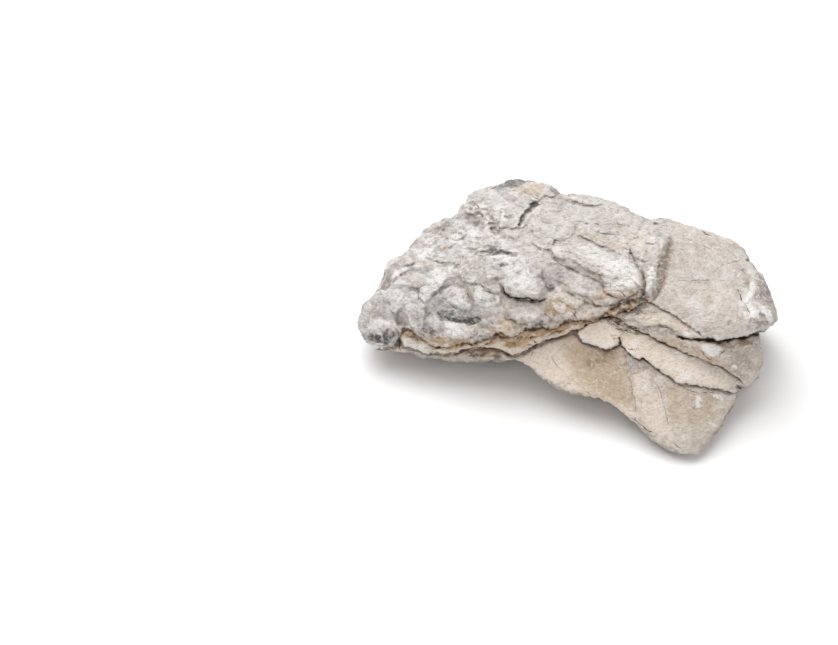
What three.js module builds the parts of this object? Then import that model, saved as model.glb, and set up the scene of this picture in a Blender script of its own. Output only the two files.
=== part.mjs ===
// Elephant skin stone: one weathered limestone boulder that rests on its broken underside.
// Its upper left is a hide of rounded, folded lobes. Under the hide a seam runs up to the
// right, and smooth split slabs lie on the right and lower right.
import * as THREE from "three";
import { mergeVertices } from "three/addons/utils/BufferGeometryUtils.js";

// Driving dimensions in millimetres
const LENGTH = 298; // the stone's longest extent, along X
const DRAWN_LENGTH = 298; // the same extent in the lists below
const DETAIL = 21; // splits along each edge of the starting icosahedron

// The front is described as an eye sees it that looks down on the stone at this angle. Lists
// hold places in the picture plane, right and up from the middle of the stone, and out is the
// height of the surface towards the eye.
const LOOK_DOWN = THREE.MathUtils.degToRad(45);
const EYE_DISTANCE = 1500;
const EYE_AXIS = { right: -109, up: -7 };
const MIDDLE_HEIGHT = 50; // height of the picture plane's middle above the floor
const CENTRE = { x: -3.4, y: 9.8 }; // middle of the stone's box, from the picture plane's middle

// The stone's outline in the picture, clockwise from the notch at the top left
const OUTLINE = [
  [-78, 75], [-75.5, 83.5], [-71, 87], [-59.5, 89], [-54, 89.5], [-50, 92.5], [-45, 95],
  [-39, 96], [-27, 93.5], [-20, 92.5], [-15, 90], [-9, 83], [-3.5, 84], [12, 84.5], [27, 79],
  [45.5, 68.5], [52, 65], [65, 66.5], [87.5, 60], [110, 52], [118.5, 45.5], [124, 36.5],
  [134.5, 22], [141, 2.5], [141, -3.5], [133, -13], [129, -14.5], [131, -28], [132, -36.5],
  [129, -45], [119.5, -52.5], [114, -56], [113.5, -60], [101.5, -80], [92, -94], [86, -99],
  [80, -101], [73.5, -101], [65, -97.5], [55.5, -91], [39, -75], [25, -64.5], [17.5, -60],
  [7.5, -59], [-13.5, -52], [-31.5, -38], [-38.5, -34.5], [-47, -33.5], [-59.5, -35],
  [-87.5, -35], [-96, -34], [-116, -27.5], [-133, -27.5], [-139.5, -26], [-147.5, -21.5],
  [-153, -12], [-152, -3], [-149, 5.5], [-136.5, 17.5], [-129, 33.5], [-121, 39],
  [-112.5, 51], [-98.5, 64], [-90.5, 66], [-83.5, 68],
];

// Heights of the bed rock under the slabs and the hide: right, up, out
const BED = [
  [80.5, -98, 39], [45.5, -75.5, 33], [-10.5, -51, 22], [17.5, -16, 24], [112, -58, 24],
  [124, -48.5, 15], [127.5, -23, 25], [127.5, -10, 28], [87.5, -17, 32], [98, 50.5, -7],
  [119, 38, -4], [136.5, 8.5, 10], [56, 58.5, -7], [87.5, 19, 17], [59.5, 8.5, 27],
  [-43.5, -32, 12], [-87.5, -30, 0], [-115.5, -25, -7], [-143.5, -23, -23],
  [-152, -12.5, -30], [-101.5, -19.5, -4], [-122.5, 15.5, -7], [-66.5, 29.5, 10],
  [-10.5, 43.5, 13], [45.5, 50.5, 3], [-101.5, 50.5, -25], [-44, 88, -34],
  [10.5, 81, -28], [-70, 75, -26], [-52.5, -9, 15], [-84, 1.5, 4], [21, 29.5, 19],
];

// What lies on the bed rock, from the lowest to the highest: its edge, how far its face
// stands out of the bed rock, and the width of the step at its edge
const COVERS = [
  {
    name: "lower split slab", lift: 3, step: 1.2,
    edge: [
      [22, -4], [33, -21.5], [34.5, -26.5], [51, -32.5], [67, -44], [75, -49.5], [96, -52],
      [111, -56], [120, -62], [150, -58], [145, -10], [50, 8],
    ],
  },
  {
    name: "upper split slab", lift: 5.5, step: 1.2,
    edge: [
      [26, 0], [38.5, -9.5], [61.5, -20], [82, -30], [97, -36], [106.5, -40], [117.5, -48.5],
      [124, -53], [150, -50], [145, 5], [50, 8],
    ],
  },
  {
    name: "flake over the split slabs", lift: 8, step: 2,
    edge: [
      [18, -2], [45.5, -5.5], [59.5, -9], [70, -12], [80.5, -18], [96, -19], [96, 0],
      [46, 12],
    ],
  },
  {
    name: "right slab", lift: 11, step: 1.2,
    edge: [
      [49.5, 9], [54, 6], [68, -1], [80.5, -9], [90, -17], [100, -19.5], [111, -18],
      [121, -16], [129, -13], [150, -7], [150, 80], [80, 90], [45, 90], [49, 50],
    ],
  },
  {
    name: "seam", lift: 4, step: 1.2,
    edge: [
      [-126, -15], [-105, -20], [-89.5, -28], [-67, -25], [-52, -25], [-43.5, -31],
      [-29, -23], [-10, -16], [10.5, -7.5], [27, -3], [38.5, 0.5], [43.5, 4], [54, 6],
      [50, 20], [-10, 20], [-70, 0], [-120, 0],
    ],
  },
  {
    name: "hide", lift: 13, step: 2.5,
    edge: [
      [-128, -23], [-119, -11], [-110, -14.5], [-97, -23.5], [-89.5, -25], [-80, -20.5],
      [-60, -18.5], [-55, -14.5], [-43, -17.5], [-34, -11], [-21, -10], [-16, -11],
      [-6, -5.5], [10.5, -5.5], [22, 0.5], [31.5, 6], [45, 10], [54, 10], [58, 26],
      [66, 52], [62, 95], [-10, 130], [-190, 130], [-190, -20],
    ],
  },
];

// Folds of the hide, and last the bevel of the toe: along each line the surface stands higher
// on the left of its direction, by height, over a distance of reach, and it rises from the
// line over a distance of soft
const FOLD_END = 9; // length over which a fold dies out at its ends
const FOLDS = [
  { height: 6, reach: 17, soft: 2, line: [[-52, 21], [-47, 13], [-38, 10], [-29.5, 9], [-19.5, 11]] },
  { height: 5, reach: 15, soft: 4, line: [[-16, 46], [-12, 35], [0, 29], [12.5, 24], [22.5, 17]] },
  { height: 4.5, reach: 14, soft: 4, line: [[-1, 55], [12, 50], [24.5, 44], [37, 38.5]] },
  { height: 5, reach: 16, soft: 2, line: [[46, 10.5], [48.5, 19], [42.5, 33], [38, 46]] },
  { height: 4, reach: 12, soft: 3, line: [[54, 10.5], [57, 24], [61, 40], [65, 52]] },
  { height: 5, reach: 14, soft: 2, line: [[-77, 38], [-66.5, 42.5], [-52.5, 41], [-40, 40.5]] },
  { height: 4, reach: 14, soft: 2, line: [[-91.5, 12], [-85, 3.5], [-77, 0.5], [-68, -3.5]] },
  { height: 4, reach: 12, soft: 2, line: [[-70, 24], [-62, 16], [-52, 13]] },
  { height: 4, reach: 12, soft: 2, line: [[-108.5, 8], [-108.5, 14], [-103, 20.5]] },
  { height: 5, reach: 12, soft: 2, line: [[-128, -22], [-124, -14], [-128, 0], [-129.5, 8.5]] },
  { height: 4, reach: 12, soft: 3, line: [[-112, 34.5], [-95, 34.5], [-79, 33.5]] },
  { height: 4, reach: 10, soft: 2, line: [[-7, 80.5], [2, 77.5], [10.5, 75.5]] },
  { height: 4, reach: 12, soft: 2, line: [[-53, 87.5], [-40, 90], [-31, 92]] },
  { height: -6, reach: 24, soft: 4, line: [[78, -99], [70, -96], [54, -88], [40, -78], [26, -65]] },
];

// Lumps and hollows of the hide: right, up, radius, height
const LUMPS = [
  [-42, 25, 15, 4], [-32, 2, 13, 4], [7, 19, 15, 4], [32, 26, 18, 5], [-49, 75, 15, 5],
  [-20, 57, 14, 4], [5, 45, 13, 3], [-119, 19, 12, 4], [-108, -2, 11, 4], [-67, 27, 14, 4],
  [-66, 6, 13, 3], [-83, 60, 13, 4], [-35, 72, 8, -7], [-27, 75, 7, -6], [-20, 20, 10, -4],
  [-85, -4, 10, -4], [-142, -15, 9, -3], [-60, 50, 12, 3], [-95, 22, 12, 4], [38, 3, 8, -5],
];

// Flat breaks on the hidden sides: a point on each, its outward direction, both in millimetres
// from the picture plane's middle with z up from the floor
const BREAKS = [
  { at: [-98, 81, 62], out: [-0.52, 0.84, 0.16] },
  { at: [-35, 108, 60], out: [0.05, 0.97, 0.22] },
  { at: [40, 84, 45], out: [0.34, 0.92, 0.18] },
  { at: [118, 52, 40], out: [0.62, 0.77, -0.12] },
  { at: [-152, 12, 13], out: [-0.4, 0.1, -0.9] },
  { at: [0, 62, 6], out: [0.1, 0.62, -0.78] },
  { at: [60, -76, 0], out: [-0.1, -0.22, -0.97] },
];
const BREAK_BLEND = 9; // rounding where two faces meet
const SIDE_TAPER = 0.12; // how fast the sides draw in behind the outline
const BED_ANGLE = THREE.MathUtils.degToRad(16); // dip of the layers towards the front
const LAYER = 24; // thickness of the layers that show on the broken sides
const LAYER_RELIEF = 3;
const LUMP_TURNS = 0.07; // how fast the lumps follow each other, in radians per millimetre
const LUMP_RELIEF = 5;

// Inside point and half sizes of the ball that is shaped into the stone
const CORE = { right: -4, up: 2, out: -22 };
const BALL = { right: 150, up: 100, out: 62 };
const FRONT_SHARE = 0.35; // moves vertices from the hidden side to the front
const LIFT_DEPTH = 26; // depth below the bed rock's face that follows a cover's lift
const FARTHEST = 1.9; // how far the search for the surface goes, in half sizes of the ball
const SEARCH_STEPS = 24;

const clamp = THREE.MathUtils.clamp;
const smoothstep = THREE.MathUtils.smoothstep;

// Distance from a place to a line of points, on which side of it the place lies, and how
// far the nearest point of the line is from the line's nearer end.
function toLine(right, up, line, closed) {
  let best = Infinity;
  let side = 0;
  let passed = 0;
  let along = 0;
  const last = closed ? line.length : line.length - 1;
  for (let i = 0; i < last; i++) {
    const [ax, ay] = line[i];
    const [bx, by] = line[(i + 1) % line.length];
    const dx = bx - ax;
    const dy = by - ay;
    const length = Math.hypot(dx, dy);
    const t = clamp(((right - ax) * dx + (up - ay) * dy) / (length * length), 0, 1);
    const distance = Math.hypot(right - ax - t * dx, up - ay - t * dy);
    const across = (dx * (up - ay) - dy * (right - ax)) / length;
    const nearer = distance < best - 1e-6;
    const cornerTie = Math.abs(distance - best) <= 1e-6 && Math.abs(across) > Math.abs(side);
    if (nearer || cornerTie) {
      best = Math.min(best, distance);
      side = across;
      along = passed + t * length;
    }
    passed += length;
  }
  return { distance: best, left: side > 0, fromEnd: Math.min(along, passed - along) };
}

// Distance to a closed outline, positive inside it.
function inside(right, up, outline) {
  let within = false;
  for (let i = 0; i < outline.length; i++) {
    const [ax, ay] = outline[i];
    const [bx, by] = outline[(i + 1) % outline.length];
    const crosses = ay > up !== by > up;
    if (crosses && right < ((bx - ax) * (up - ay)) / (by - ay) + ax) within = !within;
  }
  const { distance } = toLine(right, up, outline, true);
  return within ? distance : -distance;
}

// Solves a square system of equations by elimination with pivots.
function solve(matrix, values) {
  const n = values.length;
  const rows = matrix.map((row, i) => [...row, values[i]]);
  for (let k = 0; k < n; k++) {
    let pivot = k;
    for (let i = k + 1; i < n; i++) {
      if (Math.abs(rows[i][k]) > Math.abs(rows[pivot][k])) pivot = i;
    }
    [rows[k], rows[pivot]] = [rows[pivot], rows[k]];
    for (let i = 0; i < n; i++) {
      if (i === k) continue;
      const factor = rows[i][k] / rows[k][k];
      for (let j = k; j <= n; j++) rows[i][j] -= factor * rows[k][j];
    }
  }
  return rows.map((row, i) => row[n] / row[i]);
}

// A smooth sheet through heights at scattered places, as a thin plate would bend.
function thinPlate(heights) {
  const bend = (r) => (r > 0 ? r * r * Math.log(r) : 0);
  const rows = heights.map(([x, y]) => [
    ...heights.map(([px, py]) => bend(Math.hypot(x - px, y - py))), 1, x, y,
  ]);
  rows.push([...heights.map(() => 1), 0, 0, 0]);
  rows.push([...heights.map(([x]) => x), 0, 0, 0]);
  rows.push([...heights.map(([, y]) => y), 0, 0, 0]);
  const weights = solve(rows, [...heights.map(([, , out]) => out), 0, 0, 0]);
  const flat = weights.slice(heights.length);
  return (x, y) => heights.reduce(
    (sum, [px, py], i) => sum + weights[i] * bend(Math.hypot(x - px, y - py)),
    flat[0] + flat[1] * x + flat[2] * y,
  );
}

const bedRock = thinPlate(BED);

// How far the covers, folds and lumps stand out of the bed rock.
function relief(right, up) {
  let height = 0;
  for (const cover of COVERS) {
    const depth = inside(right, up, cover.edge);
    height = THREE.MathUtils.lerp(height, cover.lift, smoothstep(depth, -cover.step, cover.step));
  }
  const onHide = smoothstep(inside(right, up, COVERS.at(-1).edge), 0, 6);
  for (const fold of FOLDS) {
    const { distance, left, fromEnd } = toLine(right, up, fold.line, false);
    if (!left || distance > 2.5 * fold.reach) continue;
    const rise = 1 - Math.exp(-distance / fold.soft);
    const fall = Math.exp(-((distance / fold.reach) ** 2));
    height += fold.height * rise * fall * smoothstep(fromEnd, 0, FOLD_END);
  }
  for (const [x, y, radius, lump] of LUMPS) {
    const spread = ((right - x) ** 2 + (up - y) ** 2) / radius ** 2;
    height += onHide * lump * Math.exp(-spread);
  }
  return height;
}

// An uneven swell between -1 and 1, made of waves that bend each other.
function swell({ x, y, z }) {
  const a = Math.sin(x + 0.6 * y + 1.9 * Math.sin(0.7 * z + 0.5 * x));
  const b = Math.sin(0.9 * y - 0.7 * z + 1.6 * Math.sin(0.8 * x + 1.1 * z + 2));
  const c = Math.sin(1.1 * z + 0.5 * x - 0.4 * y + 1.5 * Math.sin(0.9 * y + 4));
  return (a + b + c) / 3;
}

// Lumps and broken layers of the hidden sides, at a place in the stone's own frame.
function roughness(place) {
  const large = swell(place.clone().multiplyScalar(LUMP_TURNS));
  const small = swell(place.clone().multiplyScalar(2.3 * LUMP_TURNS));
  const across = place.z * Math.cos(BED_ANGLE) - place.y * Math.sin(BED_ANGLE);
  const layer = (across + 9 * large) / LAYER;
  const ledge = layer - Math.floor(layer);
  const step = (ledge - 0.5) * smoothstep(1 - ledge, 0, 0.4);
  return LUMP_RELIEF * (large + 0.5 * small) + LAYER_RELIEF * step;
}

// From the picture plane's frame to the stone's frame, z up from the floor.
function toStone({ right, up, out }) {
  const sin = Math.sin(LOOK_DOWN);
  const cos = Math.cos(LOOK_DOWN);
  return new THREE.Vector3(right, up * sin - out * cos, MIDDLE_HEIGHT + up * cos + out * sin);
}

// Where the eye sees a place in front of or behind the picture plane.
function seen({ right, up, out }) {
  const k = EYE_DISTANCE / (EYE_DISTANCE - out);
  return {
    right: EYE_AXIS.right + (right - EYE_AXIS.right) * k,
    up: EYE_AXIS.up + (up - EYE_AXIS.up) * k,
  };
}

// The larger of two values, with the corner between them rounded.
function roundedMax(a, b, blend) {
  const h = Math.max(blend - Math.abs(a - b), 0) / blend;
  return Math.max(a, b) + (h * h * blend) / 4;
}

const breaks = BREAKS.map(({ at, out }) => ({
  at: new THREE.Vector3(...at),
  out: new THREE.Vector3(...out).normalize(),
}));

// Negative inside the bed rock, positive outside it.
function beyond(place) {
  const view = seen(place);
  const rock = bedRock(view.right, view.up);
  const behind = rock - place.out;
  const at = toStone(place);
  const rough = roughness(at) * smoothstep(behind, 2, 20);
  let result = -inside(view.right, view.up, OUTLINE) + SIDE_TAPER * Math.max(behind, 0) + rough;
  result = roundedMax(result, -behind, 4);
  for (const facet of breaks) {
    const past = at.clone().sub(facet.at).dot(facet.out) + rough;
    result = roundedMax(result, past, BREAK_BLEND);
  }
  return Math.max(result, -at.z);
}

// The place on the surface along one direction from the core.
function onSurface(direction) {
  let near = 0;
  let far = FARTHEST;
  const along = (t) => ({
    right: CORE.right + t * BALL.right * direction.x,
    up: CORE.up + t * BALL.up * direction.y,
    out: CORE.out + t * BALL.out * direction.z,
  });
  for (let i = 0; i < SEARCH_STEPS; i++) {
    const t = (near + far) / 2;
    if (beyond(along(t)) > 0) far = t;
    else near = t;
  }
  return along((near + far) / 2);
}

// Moves a place on the bed rock out with the covers above it, along the line of sight.
function raised(place) {
  const view = seen(place);
  const behind = bedRock(view.right, view.up) - place.out;
  const share = clamp(1 - behind / LIFT_DEPTH, 0, 1);
  const out = place.out + share * relief(view.right, view.up);
  const k = (EYE_DISTANCE - out) / EYE_DISTANCE;
  return {
    right: EYE_AXIS.right + (view.right - EYE_AXIS.right) * k,
    up: EYE_AXIS.up + (view.up - EYE_AXIS.up) * k,
    out,
  };
}

// The stone's surface: a ball of even triangles, each vertex moved to the rock's face.
function stoneGeometry() {
  const ball = new THREE.IcosahedronGeometry(1, DETAIL);
  ball.deleteAttribute("normal");
  ball.deleteAttribute("uv");
  const geometry = mergeVertices(ball, 1e-4);
  const position = geometry.getAttribute("position");
  const direction = new THREE.Vector3();
  const scale = LENGTH / DRAWN_LENGTH;
  for (let i = 0; i < position.count; i++) {
    direction.fromBufferAttribute(position, i);
    direction.z += FRONT_SHARE;
    direction.normalize();
    const place = toStone(raised(onSurface(direction)));
    const z = place.z < 0.01 ? 0 : place.z;
    position.setXYZ(i, (place.x - CENTRE.x) * scale, (place.y - CENTRE.y) * scale, z * scale);
  }
  geometry.computeVertexNormals();
  return geometry;
}

const limestone = new THREE.MeshStandardMaterial({
  color: "#d6cec6",
  roughness: 0.92,
  metalness: 0,
  flatShading: true,
});

const stone = new THREE.Mesh(stoneGeometry(), limestone);
stone.name = "stone";

const part = new THREE.Group();
part.add(stone);
export default part;
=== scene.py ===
"""Elephant skin stone: the looks of one weathered limestone boulder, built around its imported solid.

The stone's front is described as an eye sees it that looks down on it at an angle. Places in the
lists are in millimetres in that picture plane, right and up from the middle of the stone, and out
is a height towards the eye.
"""

import math

import bmesh
import bpy
import numpy as np
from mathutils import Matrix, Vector


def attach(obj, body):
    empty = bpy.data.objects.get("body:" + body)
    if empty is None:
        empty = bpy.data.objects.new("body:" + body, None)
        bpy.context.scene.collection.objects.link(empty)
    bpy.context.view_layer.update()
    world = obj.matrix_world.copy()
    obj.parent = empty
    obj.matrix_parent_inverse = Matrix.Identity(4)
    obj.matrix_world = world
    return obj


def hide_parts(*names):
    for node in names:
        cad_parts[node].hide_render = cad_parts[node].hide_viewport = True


bl_info = {
    "name": "Elephant skin stone",
    "version": (1, 0, 0),
    "blender": (4, 5, 0),
    "location": "3D View > Sidebar > Stone",
    "description": "Builds a weathered limestone boulder with a folded hide and split slabs",
    "category": "Add Mesh",
}

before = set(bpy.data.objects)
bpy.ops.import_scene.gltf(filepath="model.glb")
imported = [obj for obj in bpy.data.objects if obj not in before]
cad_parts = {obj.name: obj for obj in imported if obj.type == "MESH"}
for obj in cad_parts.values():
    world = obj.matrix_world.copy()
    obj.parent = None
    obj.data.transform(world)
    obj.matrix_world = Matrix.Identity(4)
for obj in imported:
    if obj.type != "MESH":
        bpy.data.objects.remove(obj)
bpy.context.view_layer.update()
MM = 0.001

# The eye and its picture plane, as in the solid's source
LOOK_DOWN = math.radians(45)
EYE_DISTANCE = 1500
EYE_AXIS = (-109, -7)
MIDDLE_HEIGHT = 50
CENTRE = (-3.4, 9.8)

# The photograph's frame
PHOTO_WIDTH = 838  # pixels
MM_PER_PIXEL = 0.7
SENSOR_WIDTH = 36

# The outline as the eye sees it
OUTLINE = [
    (-78, 75), (-75.5, 83.5), (-71, 87), (-59.5, 89), (-54, 89.5), (-50, 92.5), (-45, 95),
    (-39, 96), (-27, 93.5), (-20, 92.5), (-15, 90), (-9, 83), (-3.5, 84), (12, 84.5), (27, 79),
    (45.5, 68.5), (52, 65), (65, 66.5), (87.5, 60), (110, 52), (118.5, 45.5), (124, 36.5),
    (134.5, 22), (141, 2.5), (141, -3.5), (133, -13), (129, -14.5), (131, -28), (132, -36.5),
    (129, -45), (119.5, -52.5), (114, -56), (113.5, -60), (101.5, -80), (92, -94), (86, -99),
    (80, -101), (73.5, -101), (65, -97.5), (55.5, -91), (39, -75), (25, -64.5), (17.5, -60),
    (7.5, -59), (-13.5, -52), (-31.5, -38), (-38.5, -34.5), (-47, -33.5), (-59.5, -33.5),
    (-87.5, -32.5), (-96, -32), (-116, -27.5), (-133, -27.5), (-139.5, -26), (-147.5, -21.5),
    (-153, -12), (-152, -3), (-149, 5.5), (-136.5, 17.5), (-129, 33.5), (-121, 39), (-112.5, 51),
    (-98.5, 64), (-90.5, 66), (-83.5, 68),
]

# Heights of the bed rock under the slabs and the hide: right, up, out
BED = [
    (80.5, -98, 39), (45.5, -75.5, 33), (-10.5, -51, 22), (17.5, -16, 24), (112, -58, 24),
    (124, -48.5, 15), (127.5, -23, 25), (127.5, -10, 28), (87.5, -17, 32), (98, 50.5, -7),
    (119, 38, -4), (136.5, 8.5, 10), (56, 58.5, -7), (87.5, 19, 17), (59.5, 8.5, 27),
    (-43.5, -32, 12), (-87.5, -30, 0), (-115.5, -25, -7), (-143.5, -23, -23), (-152, -12.5, -30),
    (-101.5, -19.5, -4), (-122.5, 15.5, -7), (-66.5, 29.5, 10), (-10.5, 43.5, 13), (45.5, 50.5, 3),
    (-101.5, 50.5, -25), (-44, 88, -34), (10.5, 81, -28), (-70, 75, -26), (-52.5, -9, 15),
    (-84, 1.5, 4), (21, 29.5, 19),
]

# What lies on the bed rock, from the lowest to the highest: name, how far it stands out, width of
# the step at its edge, rounding of its rim, and its edge
COVERS = [
    ("lower slab", 3.2, 0.5, 0.5, [
        (21.5, -4), (29.5, -10.5), (31.5, -13.5), (31, -16), (32, -19.5), (33, -23), (35.5, -26),
        (38.5, -28.5), (42, -31), (46, -33), (47, -31), (49.5, -33), (52.5, -35.5), (56.5, -38.5),
        (61, -41.5), (66.5, -45), (71.5, -48.5), (76.5, -50.5), (82, -51), (87.5, -51),
        (92.5, -52), (97.5, -53), (102, -54), (107, -55.5), (111.5, -56.5), (119.5, -53.5),
        (124, -51), (143.5, -54.5), (143.5, -12.5), (87.5, -5.5), (52.5, 8.5)
    ]),
    ("upper slab", 5.5, 0.5, 0.6, [
        (26, 0), (34.5, -7), (38.5, -9.5), (42.5, -12), (47, -13.5), (52, -15.5), (56.5, -18),
        (61.5, -20.5), (66.5, -22.5), (71.5, -25), (77, -28), (82, -29.5), (87, -31.5),
        (91.5, -34.5), (96.5, -36), (102, -37.5), (106.5, -40), (110.5, -43), (115, -46),
        (119, -49.5), (124, -53), (150.5, -47.5), (150.5, 1.5), (87.5, 1.5), (52.5, 8.5)
    ]),
    ("oval", 5.5, 0.5, 0.5, [
        (3, -12), (3, -15.5), (4, -17.5), (5.5, -20), (9, -21), (12, -22.5), (16, -23.5),
        (18, -25), (21.5, -26), (25, -25.5), (28, -24), (31.5, -23), (31, -19.5), (31, -15.5),
        (33, -12.5), (28.5, -9), (23, -6), (16, -5.5), (9, -8.5)
    ]),
    ("flake", 7.5, 0.8, 0.5, [
        (17.5, -2), (31.5, -3.5), (42, -5.5), (49, -10), (56, -9), (63.5, -9), (68.5, -12),
        (73, -15.5), (80.5, -18), (91, -18), (98, -12.5), (87.5, 8.5), (45.5, 11)
    ]),
    ("right slab", 10.5, 0.6, 0.7, [
        (49.5, 10.5), (54, 6.5), (61, 3), (68, -0.5), (75, -5), (80.5, -9), (85.5, -13.5),
        (90.5, -17), (96, -18), (100, -19), (104.5, -18.5), (110, -18), (115.5, -17), (121, -16),
        (125.5, -14.5), (129, -13), (150.5, -7), (150.5, 78.5), (87.5, 85.5), (45.5, 85.5),
        (49, 54)
    ]),
    ("seam", 8, 0.7, 0.8, [
        (-125.5, -14), (-118.5, -23), (-105, -28), (-89.5, -28.5), (-82, -27.5), (-75, -25),
        (-66.5, -24.5), (-58, -25), (-52.5, -25), (-47.5, -27.5), (-43.5, -31), (-36.5, -28),
        (-29.5, -23), (-22.5, -20.5), (-17, -18), (-10, -16), (-3, -13.5), (3.5, -10.5),
        (10.5, -7.5), (15.5, -5.5), (20.5, -3.5), (26.5, -3), (31.5, 0.5), (38.5, 0.5), (43.5, 4),
        (49, 7.5), (54, 6.5), (52.5, 15.5), (-10.5, 15.5), (-73.5, -5.5), (-122.5, -5.5)
    ]),
    ("hide", 12.5, 1.2, 2.0, [
        (-126.5, -24), (-123, -18), (-120.5, -10.5), (-114, -11.5), (-108.5, -16), (-103.5, -20.5),
        (-97.5, -23.5), (-89.5, -25), (-86, -22.5), (-79, -20.5), (-72, -20.5), (-65, -19),
        (-59.5, -18), (-55.5, -14.5), (-52, -13.5), (-47.5, -15.5), (-42.5, -17.5), (-38.5, -14),
        (-34.5, -11), (-28.5, -10), (-24, -9.5), (-20.5, -11), (-16, -11), (-10.5, -8.5),
        (-6.5, -6), (0, -5.5), (5, -4), (10.5, -5.5), (16, -4), (21, 0), (26.5, 3), (31.5, 6.5),
        (37, 8.5), (42.5, 9), (47, 10), (49.5, 9.5), (53, 7), (56, 9), (59.5, 15.5), (62.5, 24.5),
        (64.5, 35), (66.5, 43.5), (69.5, 51), (66.5, 61), (62.5, 78.5), (-10.5, 120.5),
        (-171.5, 120.5), (-171.5, -28)
    ]),
]

# Folds of the hide, and last the bevel of the toe: the rise on the left of each line, how far it
# reaches, over how much it rises, the dip on the other side, and the line
FOLDS = [
    (5.0, 13, 1.2, 1.5, [
        (-52, 21.5), (-50.5, 17.5), (-47, 13.5), (-42.5, 10.5), (-38, 10), (-33.5, 11), (-29.5, 9),
        (-24.5, 9), (-19, 11)
    ]),
    (4.5, 11, 2.6, 1.0, [
        (-16, 50.5), (-17, 45.5), (-15.5, 40), (-12, 35), (-6.5, 32), (0, 29.5), (7, 26.5),
        (12.5, 24), (17.5, 21.5), (23, 16)
    ]),
    (4.2, 10, 2.6, 0.8, [
        (-1.5, 56), (5, 53), (12, 49.5), (17.5, 47), (24.5, 44), (30, 42), (38, 38)
    ]),
    (5.0, 12, 1.4, 1.2, [
        (46, 10), (48, 14), (48.5, 19), (47.5, 24.5), (45.5, 29.5), (42.5, 33), (40, 38), (39, 42),
        (38, 46)
    ]),
    (3.0, 8, 1.0, 0.8, [
        (-122.5, -25), (-123, -18), (-124.5, -12), (-126.5, -5.5), (-129, 0.5), (-129, 7.5)
    ]),
    (2.4, 6, 0.8, 0.6, [
        (-7, 80.5), (0, 78.5), (5.5, 76.5), (12, 75)
    ]),
    (3.0, 7, 1.0, 0.8, [
        (-43.5, -4), (-40, -7), (-35.5, -7.5), (-31, -11), (-26, -8.5), (-19.5, -4)
    ]),
    (1.8, 6, 0.8, 0.6, [
        (-9, 17), (-2, 12), (3.5, 10), (9, 7.5), (16, 5.5)
    ]),
    (1.8, 6, 0.8, 0.5, [
        (6.5, 38.5), (9, 35), (13.5, 32), (19.5, 32.5)
    ]),
    (1.6, 6, 0.8, 0.4, [
        (-27.5, 45), (-24, 44), (-19, 42)
    ]),
    (1.8, 6, 0.8, 0.5, [
        (-19, 44), (-16, 43.5)
    ]),
    (2.2, 7, 1.0, 0.5, [
        (-77.5, 81), (-73.5, 78.5), (-69.5, 75.5), (-66.5, 70.5), (-64.5, 65), (-63, 56)
    ]),
    (2.0, 7, 1.0, 0.5, [
        (-12, 68.5), (-10, 63.5), (-7, 59)
    ]),
    (2.0, 6, 1.0, 0.5, [
        (-52.5, 59), (-55.5, 53), (-59.5, 57.5), (-61, 61.5)
    ]),
    (1.6, 6, 0.8, 0.4, [
        (-38.5, 50.5), (-31.5, 47), (-27.5, 44)
    ]),
    (1.8, 9, 2.5, 0.5, [
        (33, -26), (35.5, -31), (36.5, -38), (37.5, -45), (40, -53), (42, -64.5)
    ]),
    (-3.5, 16, 6, 0, [
        (87.5, -101), (68, -94), (56.5, -84), (45.5, -74), (26, -63.5), (12.5, -58), (3.5, -50.5),
        (-7, -42), (-19, -29.5)
    ]),
    (-6, 24, 4, 0, [
        (78, -99), (70, -96), (54, -88), (40, -78), (26, -65)
    ]),
]

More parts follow.
